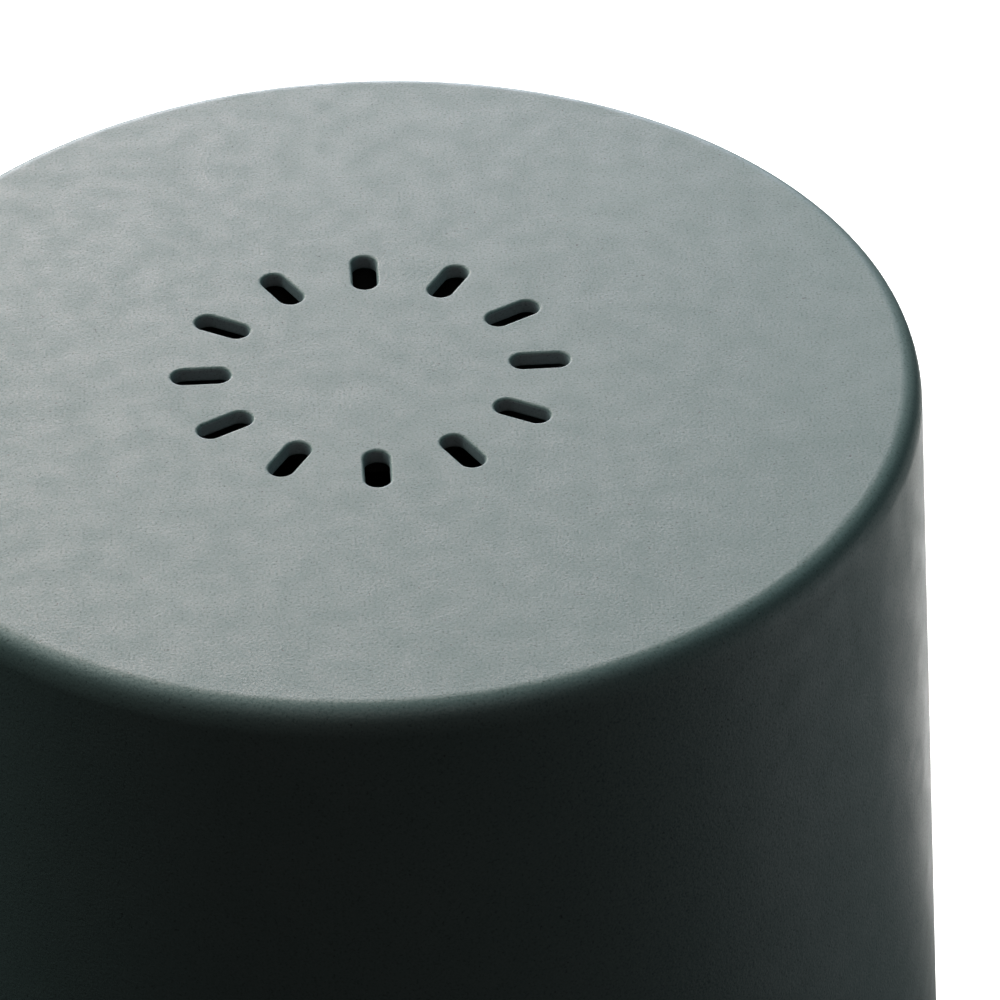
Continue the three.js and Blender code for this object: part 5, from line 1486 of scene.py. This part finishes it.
pin_front = inlet_high.y - 1.5
pin = lathe("power_socket_pin", [
    (0, BORE_FLOOR - 0.2), (1, BORE_FLOOR - 0.2), (1, pin_front - 0.6),
    *arc(0.4, pin_front - 0.6, 0.6, 0, 90, 5), (0, pin_front),
], steps=32, centre=(0, SOCKET_Z), axis="Y")
complete(soften(pin, 0), "power_socket", steel)
pin.name = pin.data.name = "power_socket_pin"

# %% [markdown]
# ## Controls
#
# Two tactile switches and a small lamp sit on the control board. Each switch is a square block with a
# round opening, and its plunger sticks out in front, where the stem of the button touches it.

# %% Switches and plungers
for name, x in BUTTONS:
    low, high = span(f"{name}_switch")
    body = bar(low, high)
    cut(body, rod(2, low.y - 1, low.y + 2, (x, CONTROL_Z), "Y", 48),
        *[rod(0.35, low.y - 1, low.y + 0.3, p, "Y", 16) for p in switch_legs(x)])
    soften(body, 0.12)
    complete(body, f"{name}_switch", black_plastic)
    front, back = span(f"{name}_switch_plunger")
    plunger = lathe("plunger", [
        (0, front.y), (1.3, front.y), (1.6, front.y + 0.3), (1.6, back.y), (0, back.y),
    ], steps=48, centre=(x, CONTROL_Z), axis="Y")
    complete(soften(plunger, 0), f"{name}_switch_plunger", white_plastic)

# %% [markdown]
# ## Buttons
#
# The face of each button carries on the curve of the base and stands a little proud of it. So the barrel
# is made too long and is trimmed to a solid that has the base's own surface, a little larger. A shallow
# dish guides the finger. A raised dot and a raised bar tell the two buttons apart by touch.

# %% Buttons
PROUD, FLANGE_FRONT, FLANGE_DEPTH, DISH_DEPTH, DISH_RADIUS = 0.3, -49.2, 0.8, 0.35, 12


def trim_to_base(piece, proud):
    """Cuts away what stands further out than the surface of the base."""
    ends = [(outer_radius(z) + proud, z) for z in (2, SEAM_Z)]
    keep = lathe("base_surface", [(0, 2), *ends, (0, SEAM_Z)], steps=256)
    return keep_inside(piece, keep)


for name, x in BUTTONS:
    low, high = span(f"{name}_button")
    face_y = -math.sqrt((outer_radius(CONTROL_Z) + PROUD) ** 2 - x**2)
    cap = trim_to_base(rod(BUTTON_RADIUS, -FAR, FLANGE_FRONT + 0.4, (x, CONTROL_Z), "Y", 96), PROUD)
    weld(cap, rod(BUTTON_RADIUS + 0.9, FLANGE_FRONT, FLANGE_FRONT + FLANGE_DEPTH, (x, CONTROL_Z), "Y", 96),
         rod(1.5, FLANGE_FRONT, high.y, (x, CONTROL_Z), "Y", 48))
    deselect_all()
    bpy.ops.mesh.primitive_uv_sphere_add(
        segments=96, ring_count=64, radius=DISH_RADIUS * MM,
        location=Vector((x, face_y + DISH_DEPTH - DISH_RADIUS, CONTROL_Z)) * MM)
    dish = settle(bpy.context.object)
    cut(cap, dish)
    mark_front, mark_back = face_y + 0.05, face_y + 1.5
    if name == "mist":
        mark = rod(0.55, mark_front, mark_back, (x, CONTROL_Z), "Y", 32)
    else:
        mark = bar((x - 1.2, mark_front, CONTROL_Z - 0.35), (x + 1.2, mark_back, CONTROL_Z + 0.35))
    weld(cap, mark)
    soften(cap, 0.18, segments=3)
    complete(cap, f"{name}_button", base_plastic)

# %% [markdown]
# Between the buttons a small clear window shows the lamp behind it. The window's face lies flush with
# the base. The lamp itself has a domed end.

# %% Indicator
lens_back = span("indicator_lens")[1].y
window = trim_to_base(rod(LENS_RADIUS, -FAR, lens_back, (0, CONTROL_Z), "Y", 64), 0)
soften(window, 0.1)
complete(window, "indicator_lens", lens_acrylic)

lamp_low, lamp_high = span("indicator_led")
LAMP_RADIUS = 1.5
lamp = lathe("lamp", [
    (0, lamp_low.y), *arc(0, lamp_low.y + LAMP_RADIUS, LAMP_RADIUS, -90, 0, 8)[1:],
    (LAMP_RADIUS, lamp_high.y - 0.8), (LAMP_RADIUS, lamp_high.y), (0, lamp_high.y),
], steps=48, centre=(0, CONTROL_Z), axis="Y")
complete(soften(lamp, 0), "indicator_led", lens_acrylic)

# %% [markdown]
# ## Connectors and leads
#
# Three plugs stand on the main board, and a lead runs from each. The leads are copied from the measured
# model and subdivided once, so that they look like round wire.

# %% Connectors
for name in ("transducer", "fan", "control"):
    low, high = span(f"{name}_connector")
    front = high.y - 0.8
    plug = bar(low, (high.x, front, high.z))
    weld(plug, bar((low.x + 1.6, front - 0.2, low.z + 2), (high.x - 1.6, high.y, low.z + 5)))
    middle = (low.x + high.x) / 2
    for x in (middle - 1.8, middle + 1.8):
        cut(plug, bar((x - 0.5, low.y + 1.8, high.z - 1.2), (x + 0.5, front - 1.8, high.z + 1)))
    soften(plug, 0.14)
    complete(plug, f"{name}_connector", connector_nylon)

# %% Leads
for name in ("transducer_lead", "fan_lead", "control_lead"):
    wire = refine(name, wire_jacket)
    apply_modifier(wire, "SUBSURF", levels=1, render_levels=1)
    pick(wire)
    bpy.ops.object.shade_smooth()
    print(name, "has", len(wire.data.polygons), "faces")
